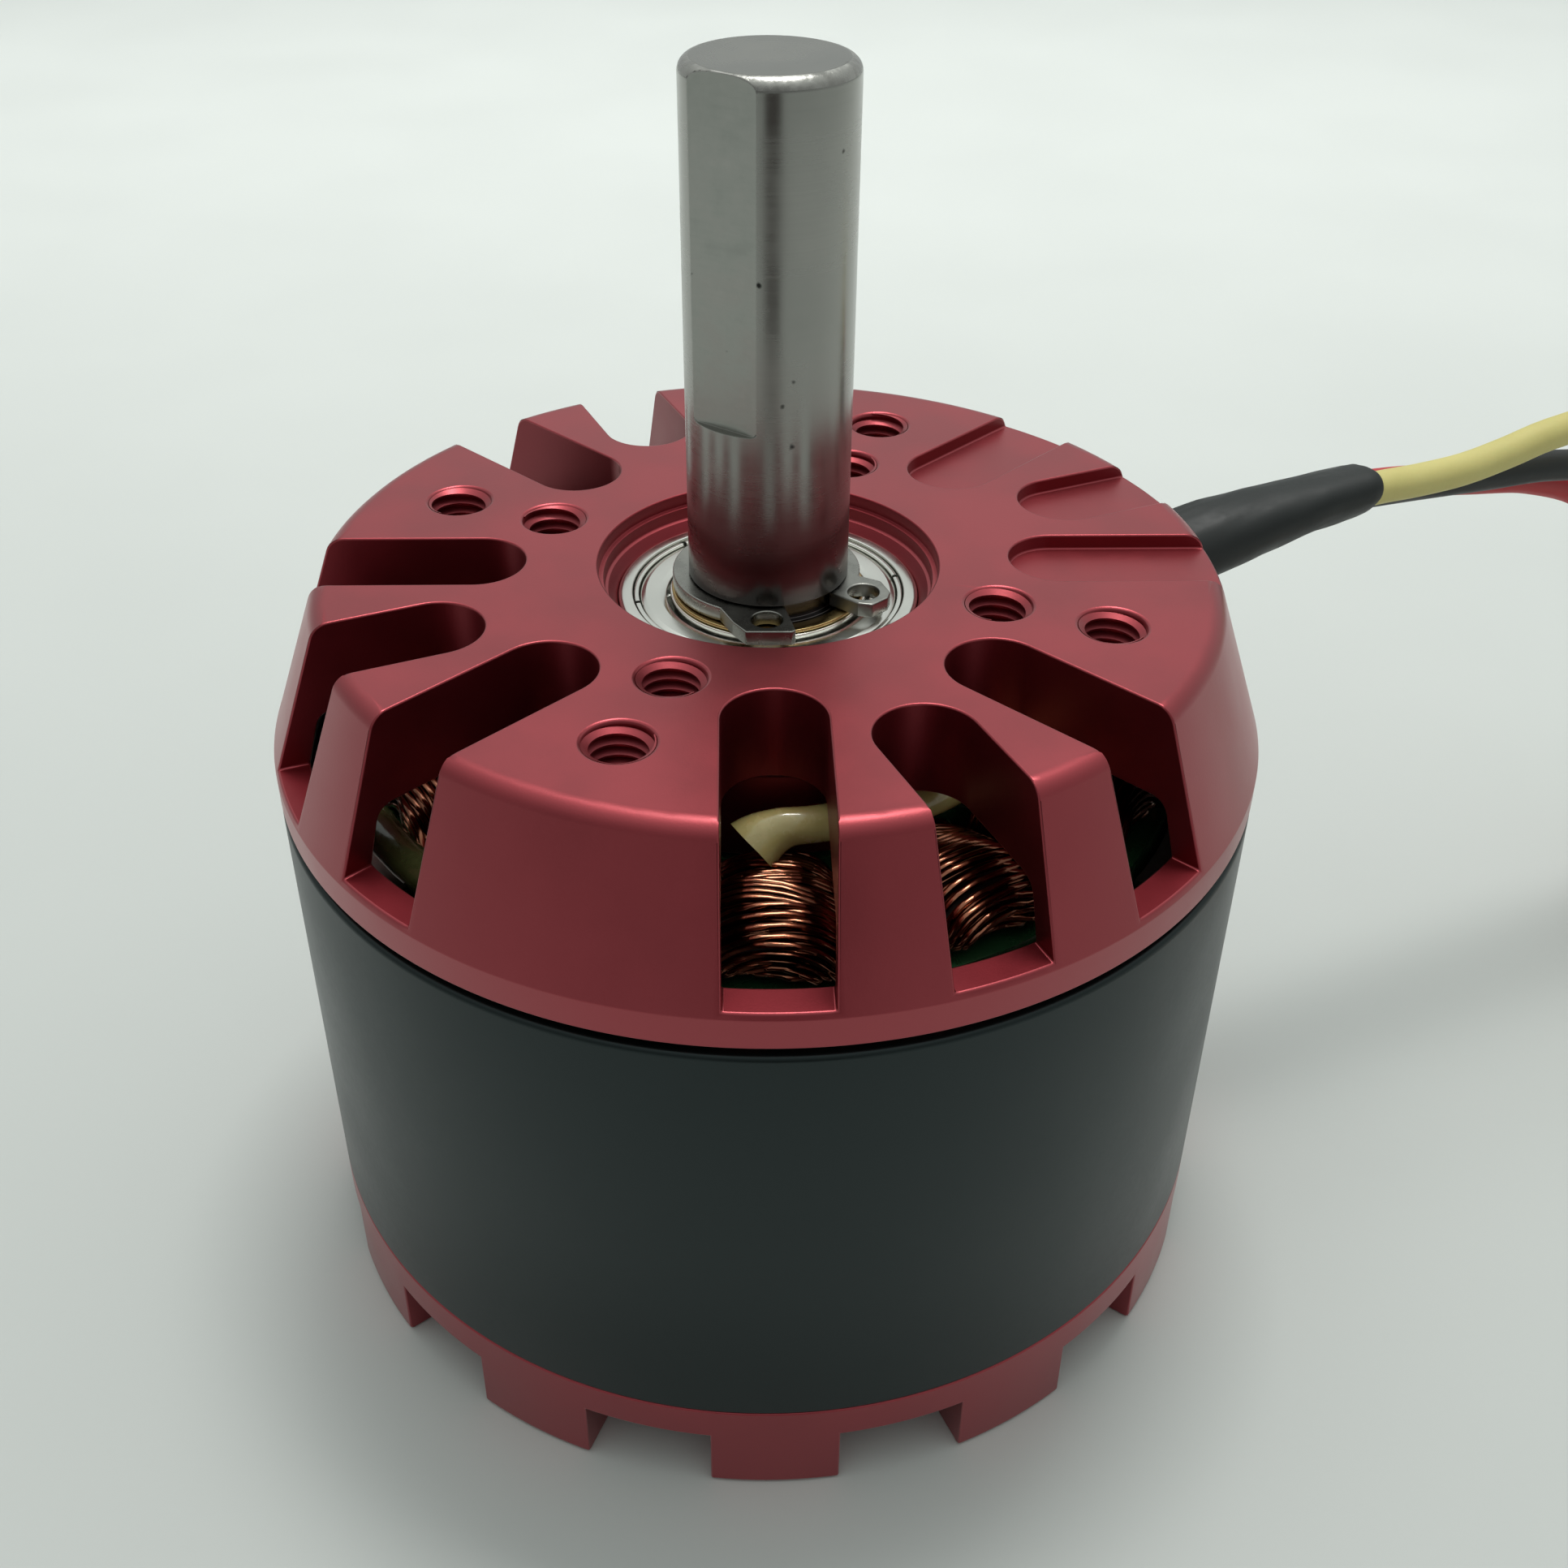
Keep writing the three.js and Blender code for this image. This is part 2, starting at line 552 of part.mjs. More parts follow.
function addRotor() {
  add('shaft', shaft(), 'ground_steel');
  add('retaining_ring', retainingRing(), 'bearing_steel');
  const shimTop = GROOVE_Z[0] + 0.03;
  add('shim_washer', tubeWall(6.1, 5.2, shimTop - 0.23, shimTop, SMALL_ROUND), 'brass');
  add('rotor_can', turned(canOutline(), ROUND), 'black_can');
  add('end_bell', endBell(), 'red_anodised');
  const spacer = tubeWall(6.2, 5.2, BELL_HUB_Z[1] + 0.1, REAR_BEARING_Z - 0.1, SMALL_ROUND);
  add('shaft_spacer', spacer, 'brass');
  const magnet = prism(sector(MAGNET_OUT_R, MAGNET_IN_R, deg(MAGNET_HALF_ANGLE)), ...MAGNET_Z, 5);
  for (let i = 0; i < POLES; i += 1) {
    const name = `magnet_${String(i + 1).padStart(2, '0')}`;
    add(name, magnet, 'magnet_nickel').rotation.z = deg((360 / POLES) * i);
  }
  SET_SCREW_AZIMUTHS.forEach((azimuth, i) => {
    add(`set_screw_${i + 1}`, setScrew(), 'bearing_steel').rotation.z = deg(azimuth);
  });
}

// ---- Cable -------------------------------------------------------------------------------
// Each row is a point of the sleeve's centre line and its section: out, up, half width,
// half height and lean in degrees. The leads turn from a bundle into a row inside it.
const SLEEVE_ROWS = [
  [28.6, 43.9, 3.1, 2.7, 0], [31, 44.25, 3.15, 2.7, -4], [34, 44.75, 3.3, 2.65, -12],
  [38, 45.3, 3.6, 2.4, -24], [42, 45.75, 3.85, 2.1, -30], [46.3, 46, 3.9, 1.95, -32.5],
];

const LEAD_ROUTES = {
  yellow: [
    [46.7, -2.07, 47.1], [50.5, -2.07, 47], [54.7, -2.07, 47.1], [58.6, -2.07, 47.7],
    [62.5, -2.1, 48.5], [70, -2.4, 48.9], [78, -3.2, 46.5], [85, -4.2, 40], [90, -5.5, 30],
    [92.8, -7, 19.5], [94, -10, 9.5], [93.7, -15, 3.4], [92.6, -22, 1.3], [91.2, -30, 1.25],
    [88.8, -40, 1.25], [86.4, -50, 1.4], [85, -55.8, 2.3], [84, -60, 2.35],
  ],
  black: [
    [46.7, 0, 45.7], [52, 0, 45.4], [59, 0, 44.9], [66, 0, 44.4], [74, -0.3, 42.6],
    [81, -1, 38], [86, -2, 30], [88.8, -3.5, 20], [89.8, -6, 10], [89.3, -11, 3.6],
    [88.2, -18, 1.3], [86.4, -27, 1.25], [84, -37, 1.25], [81.6, -47, 1.4], [80.2, -52.8, 2.3],
    [79.2, -57, 2.35],
  ],
  red: [
    [46.7, 2.35, 44.9], [53, 2.35, 44.4], [60, 2.3, 43.35], [66.5, 2.2, 42.2], [73, 1.9, 39.6],
    [79, 1, 34], [83, 0, 26.5], [85.2, -1.5, 17.5], [85.6, -4, 9], [84.8, -9, 3.3],
    [83.4, -16, 1.3], [81.6, -24, 1.25], [79.2, -34, 1.25], [76.8, -44, 1.4],
    [75.4, -49.8, 2.3], [74.4, -54, 2.35],
  ],
};

function leadSleeve() {
  const rings = SLEEVE_ROWS.map(([out, up, halfWidth, halfHeight, lean]) => {
    const ring = [];
    for (let k = 0; k < 16; k += 1) {
      const a = (2 * Math.PI * k) / 16;
      const [w, h] = [halfWidth * Math.cos(a), halfHeight * Math.sin(a)];
      const side = w * Math.cos(deg(lean)) - h * Math.sin(deg(lean));
      const rise = w * Math.sin(deg(lean)) + h * Math.cos(deg(lean));
      ring.push(cablePoint([out, side, up + rise]));
    }
    return ring;
  });
  return skin(rings, true);
}

// A turned outline laid along the line from one point towards another.
function alongLine(outline, facets, from, towards) {
  const direction = towards.clone().sub(from).normalize();
  const turn = new THREE.Quaternion().setFromUnitVectors(new THREE.Vector3(0, 0, 1), direction);
  return turned(outline, facets).applyQuaternion(turn).translate(from.x, from.y, from.z);
}

function addCable() {
  add('lead_sleeve', leadSleeve(), 'black_shrink');
  for (const [colour, route] of Object.entries(LEAD_ROUTES)) {
    const points = route.map(cablePoint);
    const steps = Math.round(new THREE.CatmullRomCurve3(points).getLength() / 5.5);
    add(`phase_lead_${colour}`, tube(points, LEAD_R, 8, steps), `${colour}_silicone`);
    const [before, end] = points.slice(-2);
    before.z = end.z;
    const direction = end.clone().sub(before).normalize();
    const bootFrom = end.clone().addScaledVector(direction, END_GAP);
    const plugFrom = bootFrom.clone().addScaledVector(direction, BOOT_L + END_GAP);
    const boot = [
      [0, 0], [BOOT_R - 0.3, 0], [BOOT_R, 1], [BOOT_R, BOOT_L - 1], [BOOT_R - 0.3, BOOT_L],
      [0, BOOT_L],
    ];
    const plug = [
      [0, 0], [BULLET_R - 0.2, 0], [BULLET_R - 0.2, 1.5], [BULLET_R - 0.45, 1.8],
      [BULLET_R, 4.5], [BULLET_R - 0.2, BULLET_L - 1.5], [1, BULLET_L], [0, BULLET_L],
    ];
    add(`connector_boot_${colour}`, alongLine(boot, 12, bootFrom, end.clone().add(direction)),
      'black_shrink');
    add(`bullet_connector_${colour}`, alongLine(plug, 12, plugFrom, plugFrom.clone().add(direction)),
      'gold_plate');
  }
}

addStator();
addBearing('front_bearing', FRONT_BEARING_Z);
addBearing('rear_bearing', REAR_BEARING_Z);
addRotor();
addCable();

export default group;
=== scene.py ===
"""A brushless outrunner motor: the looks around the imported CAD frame.

Shapes are worked out in millimetres and turned into metres when a piece is made. +Z runs up
the shaft, and the origin is in the plane of the end bell's feet. An azimuth is in degrees
about +Z, from +X. The cap, the coils and the cable stand still, and the can, the end bell
and the shaft turn.
"""

import json
import math

import bmesh
import bpy
from mathutils import Matrix, Vector, noise


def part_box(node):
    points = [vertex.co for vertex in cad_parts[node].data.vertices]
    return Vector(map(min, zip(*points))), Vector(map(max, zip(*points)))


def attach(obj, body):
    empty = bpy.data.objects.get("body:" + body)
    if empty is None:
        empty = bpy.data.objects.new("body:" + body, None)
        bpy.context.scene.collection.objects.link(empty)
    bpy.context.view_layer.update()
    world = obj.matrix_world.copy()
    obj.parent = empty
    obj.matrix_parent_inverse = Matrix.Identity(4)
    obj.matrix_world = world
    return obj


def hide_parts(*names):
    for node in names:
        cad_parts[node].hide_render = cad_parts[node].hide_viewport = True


MM = 0.001

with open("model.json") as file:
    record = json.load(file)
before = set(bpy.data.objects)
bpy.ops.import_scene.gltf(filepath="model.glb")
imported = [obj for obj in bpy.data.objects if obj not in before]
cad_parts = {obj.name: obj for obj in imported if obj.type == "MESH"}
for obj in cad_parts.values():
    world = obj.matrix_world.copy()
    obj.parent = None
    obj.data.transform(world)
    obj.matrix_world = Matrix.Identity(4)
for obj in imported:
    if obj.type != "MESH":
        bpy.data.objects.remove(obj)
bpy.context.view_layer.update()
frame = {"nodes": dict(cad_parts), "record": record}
record = frame["record"]
BODY_OF = {n: body for body, nodes in record["behaviour"]["bodies"].items() for n in nodes}
SLOT_OF = {part["node"]: part["material_slot"] for part in record["subparts"]}


def low_corner(node):
    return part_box(node)[0] / MM


def high_corner(node):
    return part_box(node)[1] / MM


# ---- Driving dimensions, from the frame ----
CAN_R = high_corner("rotor_can").x
CAN_TOP = high_corner("rotor_can").z
CAN_BOTTOM = low_corner("rotor_can").z
CAP_TOP = high_corner("mount_cap").z
SHAFT_R = high_corner("shaft").x
SHAFT_TOP = high_corner("shaft").z
SHAFT_END = low_corner("shaft").z
BEARING_R = high_corner("front_bearing_outer_ring").x
BEARING_H = high_corner("front_bearing_outer_ring").z - low_corner("front_bearing_outer_ring").z
CORE_TOP = high_corner("stator_core").z
CORE_BOTTOM = low_corner("stator_core").z
RING_Z = (low_corner("retaining_ring").z, high_corner("retaining_ring").z)
SHIM_Z = (low_corner("shim_washer").z, high_corner("shim_washer").z)

# ---- Dimensions that repeat the CAD source's ----
CAN_BORE_R = 30
CAP_EDGE = 1.3
PLATE = 6
CONE_TOP_R = 28.16
CONE_FOOT = 40.35
RIM_BOTTOM = 38.35
RIM_IN_R = 29.8
PLATE_CORNER_R = 28.6
BOSS_R = 15
RECESS_R = 10.7
RECESS_FLOOR = 48.6
RECESS_STEP = 0.35
RECESS_STEP_DEPTH = 0.85
BELL_TOP = 7.1
BELL_FLOOR = 4.6
BELL_HUB_R = 9
BELL_HUB_Z = (0.9, 12.5)
FEET = 12
FOOT_IN_R = 28.75
SPIGOT_R = (26.8, 29.8)
SPIGOT_TOP = 9.9
BELL_WINDOW_R = (15, 25.8)
SET_SCREW_AZIMUTHS = (-75, 15)
SET_SCREW_Z = 2.75
FLAT_DEPTH = 0.52
FLAT_START = CAP_TOP + 10.4
FLAT_AZIMUTH = -125.7
GROOVE_R = 4.6
GROOVE_Z = (CAP_TOP - 1.75, CAP_TOP - 0.6)
TEETH = 12
TOOTH_HALF = 2.5
SLOT_WIDTH = 6
SLOT_STEP = 22.5
SLOT_INNER_R = (15.2, 18.5, 15.2)
SLOT_FLOOR = 40.75
BLIND_SLOT_DEPTH = 1
HOLE_RADII = (15, 22)
HOLE_AZIMUTH = -22.5
THREAD_R = (1.66, 2.0)
THREAD_PITCH = 0.7
TUBE_R = 11
TUBE_END = 14.3
OUTER_RING_IN_R = 8.6
INNER_RING_R = (5.1, 6.2)
SHIELD_R = (6.45, 8.1)
FRONT_BEARING_Z = CAP_TOP - 7
REAR_BEARING_Z = 14.6
CABLE_AZIMUTH = 22.5
WINDOW_HALF = 3.6
WINDOW_Z = (41, 47.2)
WINDOW_CORNER = 1.5
LEAD_R = 1.2
SLEEVE_ARC_R = 17.2
SLEEVE_ARC_Z = 42.1
BOOT_R = 2.2
BOOT_L = 12
BULLET_R = 1.95
BULLET_L = 10.5
END_GAP = 0.3
OUTSIDE_R = 34
ROUND = 288          # facets of the cap, the can and the bell
SMALL_ROUND = 128    # facets of the shaft and the bearings

# ---- The coils' wire ----
STRAND_R = 0.2
STRAND_PITCH = 0.47
LAYER_DEPTH = 0.33   # how far the second layer lies under the first
BUNDLE = 4           # strands that lie side by side in one turn
ARCH_STEPS = 28      # points over an end turn
SIDE_STEPS = 6       # points down a side
LEAN = {1: 1.75, 2: 1.3}    # how far a coil's end turns lean out over its tooth's shoe
COMMON_LEAN = 0.8

# ---- The camera: millimetres and degrees ----
CAMERA_PLACE = (-2.095, -100.018, 103.98)
CAMERA_ANGLES = (-1.851, 35.416, 0.585)     # yaw, pitch down and roll
CAMERA_LENS = 41.135

# ---- The cable ----
# Each row is a point of the heat-shrink's centre line and its section: out, up, half width,
# half height and lean in degrees.
SLEEVE_ROWS = [
    (28.6, 43.9, 3.1, 2.7, 0), (31, 44.25, 3.15, 2.7, -4), (34, 44.75, 3.3, 2.65, -12),
    (38, 45.3, 3.6, 2.4, -24), (42, 45.75, 3.85, 2.1, -30), (46.3, 46, 3.9, 1.95, -32.5),
]

# The leads' routes as (out, side, up), the cable's direction being out.
LEAD_ROUTES = {
    "yellow": [
        (46.7, -2.07, 47.1), (50.5, -2.07, 47), (54.7, -2.07, 47.1), (58.6, -2.07, 47.7),
        (62.5, -2.1, 48.5), (70, -2.4, 48.9), (78, -3.2, 46.5), (85, -4.2, 40), (90, -5.5, 30),
        (92.8, -7, 19.5), (94, -10, 9.5), (93.7, -15, 3.4), (92.6, -22, 1.3), (91.2, -30, 1.25),
        (88.8, -40, 1.25), (86.4, -50, 1.4), (85, -55.8, 2.3), (84, -60, 2.35),
    ],
    "black": [
        (46.7, 0, 45.7), (52, 0, 45.4), (59, 0, 44.9), (66, 0, 44.4), (74, -0.3, 42.6),
        (81, -1, 38), (86, -2, 30), (88.8, -3.5, 20), (89.8, -6, 10), (89.3, -11, 3.6),
        (88.2, -18, 1.3), (86.4, -27, 1.25), (84, -37, 1.25), (81.6, -47, 1.4),
        (80.2, -52.8, 2.3), (79.2, -57, 2.35),
    ],
    "red": [
        (46.7, 2.35, 44.9), (53, 2.35, 44.4), (60, 2.3, 43.35), (66.5, 2.2, 42.2),
        (73, 1.9, 39.6), (79, 1, 34), (83, 0, 26.5), (85.2, -1.5, 17.5), (85.6, -4, 9),
        (84.8, -9, 3.3), (83.4, -16, 1.3), (81.6, -24, 1.25), (79.2, -34, 1.25),
        (76.8, -44, 1.4), (75.4, -49.8, 2.3), (74.4, -54, 2.35),
    ],
}


# ---- Camera ----
def add_camera():
    camera = bpy.data.objects.new("camera", bpy.data.cameras.new("camera"))
    bpy.context.scene.collection.objects.link(camera)
    camera.data.sensor_width = 36
    camera.data.lens = CAMERA_LENS
    camera.data.clip_start = 0.005
    yaw, pitch, roll = (math.radians(a) for a in CAMERA_ANGLES)
    aim = Matrix.Rotation(yaw, 4, "Z") @ Matrix.Rotation(math.pi / 2 - pitch, 4, "X")
    place = Matrix.Translation(Vector(CAMERA_PLACE) * MM)
    camera.matrix_world = place @ aim @ Matrix.Rotation(roll, 4, "Z")
    bpy.context.scene.camera = camera


# ---- Materials ----
MATERIALS = {}


def add_node(tree, kind, **settings):
    node = tree.nodes.new(kind)
    for name, value in settings.items():
        setattr(node, name, value)
    return node


def calculate(tree, operation, *values):
    """A math node whose inputs are numbers or other nodes' outputs."""
    node = add_node(tree, "ShaderNodeMath", operation=operation)
    for socket, value in zip(node.inputs, values):
        if isinstance(value, (int, float)):
            socket.default_value = value
        else:
            tree.links.new(value, socket)
    return node.outputs[0]


def noise_at(tree, vector, size, detail=2.0, stretch=(1, 1, 1)):
    """Noise whose features are about size millimetres across."""
    mapping = add_node(tree, "ShaderNodeMapping")
    mapping.inputs["Scale"].default_value = [s / (size * MM) for s in stretch]
    tree.links.new(vector, mapping.inputs["Vector"])
    texture = add_node(tree, "ShaderNodeTexNoise")
    texture.inputs["Scale"].default_value = 1.0
    texture.inputs["Detail"].default_value = detail
    tree.links.new(mapping.outputs[0], texture.inputs["Vector"])
    return texture.outputs["Fac"]


def ring_coordinates(tree, vector):
    """Radius and height, so that noise on them makes the marks of a lathe."""
    parts = add_node(tree, "ShaderNodeSeparateXYZ")
    tree.links.new(vector, parts.inputs[0])
    x, y, z = parts.outputs
    squares = calculate(tree, "ADD", calculate(tree, "MULTIPLY", x, x), calculate(tree, "MULTIPLY", y, y))
    joined = add_node(tree, "ShaderNodeCombineXYZ")
    tree.links.new(calculate(tree, "SQRT", squares), joined.inputs[0])
    tree.links.new(z, joined.inputs[2])
    return joined.outputs[0]


def mixed(tree, share, low, high):
    node = add_node(tree, "ShaderNodeMix", data_type="RGBA")
    tree.links.new(share, node.inputs["Factor"])
    for socket, colour in ((node.inputs[6], low), (node.inputs[7], high)):
        if isinstance(colour, tuple):
            socket.default_value = (*colour, 1)
        else:
            tree.links.new(colour, socket)
    return node.outputs[2]


def spread(tree, value, low, high, middle=0.5, contrast=2.5):
    """Stretches noise about its middle and maps it from 0..1 to low..high."""
    node = add_node(tree, "ShaderNodeMapRange")
    half = 0.5 / contrast
    node.inputs["From Min"].default_value = middle - half
    node.inputs["From Max"].default_value = middle + half
    node.inputs["To Min"].default_value = low
    node.inputs["To Max"].default_value = high
    tree.links.new(value, node.inputs["Value"])
    return node.outputs[0]


def finish(
    name, dark, light, roughness, blotch=6.0, grain=0.3, depth=0.004, lathe=False,
    stretch=(1, 1, 1), specks=0.0, **inputs,
):
    """A procedural finish: blotches between two colours, uneven roughness from low to high,
    and a grain of that size and depth in millimetres. lathe lays the grain in rings, and
    specks darkens small pits."""
    made = bpy.data.materials.new(name)
    made.use_nodes = True
    tree = made.node_tree
    shader = tree.nodes["Principled BSDF"]
    for key, value in inputs.items():
        shader.inputs[key.replace("_", " ")].default_value = value
    place = add_node(tree, "ShaderNodeTexCoord").outputs["Object"]
    marks = ring_coordinates(tree, place) if lathe else place
    blotches = spread(tree, noise_at(tree, place, blotch, 4.0), 0, 1)
    fine = noise_at(tree, marks, grain, 3.0, stretch)
    share = calculate(tree, "ADD", calculate(tree, "MULTIPLY", blotches, 0.6),
                      calculate(tree, "MULTIPLY", fine, 0.4))
    colour = mixed(tree, share, dark, light)
    if specks:
        pits = spread(tree, noise_at(tree, place, specks, 1.0), 0, 1, middle=0.79, contrast=14)
        colour = mixed(tree, pits, colour, tuple(c * 0.12 for c in dark))
    tree.links.new(colour, shader.inputs["Base Color"])
    tree.links.new(spread(tree, share, *roughness), shader.inputs["Roughness"])
    bump = add_node(tree, "ShaderNodeBump")
    bump.inputs["Strength"].default_value = 1.0
    bump.inputs["Distance"].default_value = depth * MM
    tree.links.new(fine, bump.inputs["Height"])
    tree.links.new(bump.outputs[0], shader.inputs["Normal"])
    MATERIALS[name] = made
    return made


def darken_below(material, low, high, shade_colour):
    """Painted shade that covers the material at the low height and thins out to the high one."""
    tree = material.node_tree
    colour = tree.nodes["Principled BSDF"].inputs["Base Color"]
    bare = colour.links[0].from_socket
    parts = add_node(tree, "ShaderNodeSeparateXYZ")
    tree.links.new(add_node(tree, "ShaderNodeTexCoord").outputs["Object"], parts.inputs[0])
    share = add_node(tree, "ShaderNodeMapRange")
    share.inputs["From Min"].default_value = low * MM
    share.inputs["From Max"].default_value = high * MM
    tree.links.new(parts.outputs[2], share.inputs["Value"])
    tree.links.new(mixed(tree, share.outputs["Result"], shade_colour, bare), colour)


def make_materials():
    anodised = dict(grain=0.12, depth=0.006, Metallic=0.92, Coat_Weight=0.8, Coat_Roughness=0.35)
    finish("red_anodised", (0.33, 0.030, 0.042), (0.38, 0.040, 0.054), (0.38, 0.46), **anodised)
    # rounded edges: a lighter, glossier red, partly rubbed wear and partly painted highlight
    finish("red_edge_wear_and_highlight", (0.35, 0.033, 0.046), (0.41, 0.046, 0.061), (0.32, 0.40), **anodised)
    # painted shade: a darker red with less coat for the slots and the bearing recess
    finish("red_painted_shade", (0.22, 0.016, 0.024), (0.27, 0.024, 0.034), (0.40, 0.48),
           **(anodised | dict(Coat_Weight=0.3)))
    finish("black_can", (0.0030, 0.0050, 0.0050), (0.0045, 0.0070, 0.0070), (0.30, 0.36),
           blotch=14, grain=0.5, depth=0.0015, Specular_IOR_Level=0.42,
           Specular_Tint=(0.78, 0.98, 1.0, 1.0))
    finish("ground_steel", (0.29, 0.29, 0.27), (0.40, 0.395, 0.37), (0.22, 0.32), grain=0.14,
           depth=0.0006, lathe=True, specks=0.9, Metallic=1.0)
    # painted shade on the shaft where it goes down into the cap's recess
    darken_below(MATERIALS["ground_steel"], CAP_TOP - 1, CAP_TOP + 8, (0.115, 0.105, 0.105))
    finish("flat_steel", (0.32, 0.33, 0.305), (0.50, 0.505, 0.47), (0.32, 0.48), blotch=1.8,
           grain=0.3, depth=0.006, stretch=(0.12, 0.12, 1), specks=0.7, Metallic=1.0)
    finish("worn_steel", (0.30, 0.29, 0.27), (0.56, 0.56, 0.53), (0.14, 0.40), blotch=1.4,
           grain=0.35, depth=0.03, stretch=(1, 1, 0.5), Metallic=1.0)
    finish("bearing_steel", (0.84, 0.84, 0.79), (0.92, 0.92, 0.87), (0.16, 0.26), blotch=3,
           grain=0.12, depth=0.0012, lathe=True, Metallic=1.0)
    finish("spring_steel", (0.26, 0.26, 0.24), (0.42, 0.42, 0.39), (0.22, 0.34), blotch=2,
           grain=0.2, depth=0.003, Metallic=1.0)
    finish("brass", (0.42, 0.29, 0.12), (0.60, 0.44, 0.20), (0.2, 0.3), blotch=2, grain=0.12,
           depth=0.001, lathe=True, Metallic=1.0)
    finish("copper_enamel", (0.10, 0.030, 0.016), (0.36, 0.135, 0.070), (0.12, 0.22), blotch=1.6,
           grain=0.25, depth=0.004, Metallic=1.0, Coat_Weight=0.35, Coat_Roughness=0.06)
    # painted shade: near black for the wire mass under the strands
    finish("coil_shadow", (0.010, 0.004, 0.003), (0.022, 0.008, 0.004), (0.4, 0.6))
    finish("green_lacquer", (0.010, 0.045, 0.016), (0.020, 0.075, 0.028), (0.2, 0.36), blotch=3,
           grain=0.5, depth=0.01, stretch=(0.1, 0.1, 1), Coat_Weight=0.5, Coat_Roughness=0.15)
    finish("magnet_nickel", (0.42, 0.41, 0.38), (0.54, 0.53, 0.50), (0.28, 0.4), blotch=4,
           grain=0.4, depth=0.003, Metallic=1.0)
    finish("cream_sleeving", (0.50, 0.42, 0.15), (0.66, 0.58, 0.25), (0.2, 0.32), blotch=2,
           grain=0.5, depth=0.012, Coat_Weight=1.0, Coat_Roughness=0.04, Subsurface_Weight=0.15,
           Subsurface_Scale=0.001)
    finish("olive_sleeving", (0.025, 0.030, 0.010), (0.060, 0.065, 0.022), (0.15, 0.25),
           blotch=2, grain=0.5, depth=0.012, Coat_Weight=0.8, Coat_Roughness=0.08)
    finish("black_shrink", (0.010, 0.013, 0.013), (0.018, 0.022, 0.022), (0.46, 0.6), blotch=3,
           grain=0.4, depth=0.008, Specular_IOR_Level=0.45)
    silicone = dict(blotch=4, grain=0.3, depth=0.004, Subsurface_Weight=0.08,
                    Subsurface_Scale=0.001)
    finish("yellow_silicone", (0.62, 0.55, 0.19), (0.71, 0.64, 0.25), (0.5, 0.62), **silicone)
    finish("black_silicone", (0.012, 0.014, 0.015), (0.020, 0.023, 0.024), (0.45, 0.6), **silicone)
    finish("red_silicone", (0.48, 0.030, 0.035), (0.56, 0.045, 0.055), (0.5, 0.62), **silicone)
    finish("gold_plate", (0.72, 0.46, 0.14), (0.86, 0.60, 0.24), (0.16, 0.26), blotch=2,
           grain=0.3, depth=0.002, Metallic=1.0)
    finish("black_card", (0.045, 0.028, 0.026), (0.06, 0.036, 0.034), (0.9, 1.0))
    finish("floor", (0.62, 0.65, 0.632), (0.64, 0.67, 0.652), (0.42, 0.5), blotch=40, grain=0.6,
           depth=0.004)


# ---- Shapes: (points in millimetres, faces) ----
def merged(shapes):
    points, faces = [], []
    for some_points, some_faces in shapes:
        first = len(points)
        points.extend(some_points)
        faces.extend(tuple(first + i for i in face) for face in some_faces)
    return points, faces


def moved(shape, *matrices):
    points, faces = shape
    for matrix in matrices:
        points = [matrix @ Vector(p) for p in points]
    return points, faces


def turn_z(azimuth):
    return Matrix.Rotation(math.radians(azimuth), 4, "Z")


def polar(radius, azimuth, z=0.0):
    a = math.radians(azimuth)
    return Vector((radius * math.cos(a), radius * math.sin(a), z))


def rounded(corners, steps=4):
    """A closed outline whose corners (x, y) or (x, y, radius) are rounded by arcs."""
    outline = []
    for i, corner in enumerate(corners):
        here = Vector(corner[:2])
        radius = corner[2] if len(corner) > 2 else 0
        if not radius:
            outline.append(tuple(here))
            continue
        back = (Vector(corners[i - 1][:2]) - here).normalized()
        ahead = (Vector(corners[(i + 1) % len(corners)][:2]) - here).normalized()
        half = back.angle(ahead) / 2
        centre = here + (back + ahead).normalized() * radius / math.sin(half)
        reach = radius / math.tan(half)
        first = here + back * reach - centre
        last = here + ahead * reach - centre
        sweep = math.pi - 2 * half
        for k in range(steps + 1):
            share = k / steps
            p = (first * math.sin((1 - share) * sweep) + last * math.sin(share * sweep))
            outline.append(tuple(centre + p / math.sin(sweep)))
    return outline


def turned(outline, facets):
    """A closed outline of (radius, z), anticlockwise, turned about Z. Points on the axis
    become poles."""
    points, rings = [], []
    for radius, z in outline:
        if radius < 1e-6:
            rings.append([len(points)] * facets)
            points.append(Vector((0, 0, z)))
            continue
        rings.append(list(range(len(points), len(points) + facets)))
        points.extend(polar(radius, 360 * k / facets, z) for k in range(facets))
    faces = []
    for low, high in zip(rings, rings[1:] + rings[:1]):
        for k in range(facets):
            n = (k + 1) % facets
            face = list(dict.fromkeys((low[k], low[n], high[n], high[k])))
            if len(face) > 2:
                faces.append(tuple(face))
    return points, faces


def ring(inner, outer, low, high, edge=0.1, facets=SMALL_ROUND):
    corners = [(inner, low, edge), (outer, low, edge), (outer, high, edge), (inner, high, edge)]
    return turned(rounded(corners, 3), facets)


def prism(outline, low, high):
    """A closed outline of (x, y), anticlockwise, from one height to another."""
    n = len(outline)
    points = [Vector((x, y, low)) for x, y in outline] + [Vector((x, y, high)) for x, y in outline]
    faces = [tuple(reversed(range(n))), tuple(range(n, 2 * n))]
    faces.extend((k, (k + 1) % n, n + (k + 1) % n, n + k) for k in range(n))
    return points, faces


def arc(centre, radius, start, end, steps):
    """Points (x, y) on an arc, its angles in degrees."""
    points = []
    for k in range(steps + 1):
        a = math.radians(start + (end - start) * k / steps)
        points.append((centre[0] + radius * math.cos(a), centre[1] + radius * math.sin(a)))
    return points


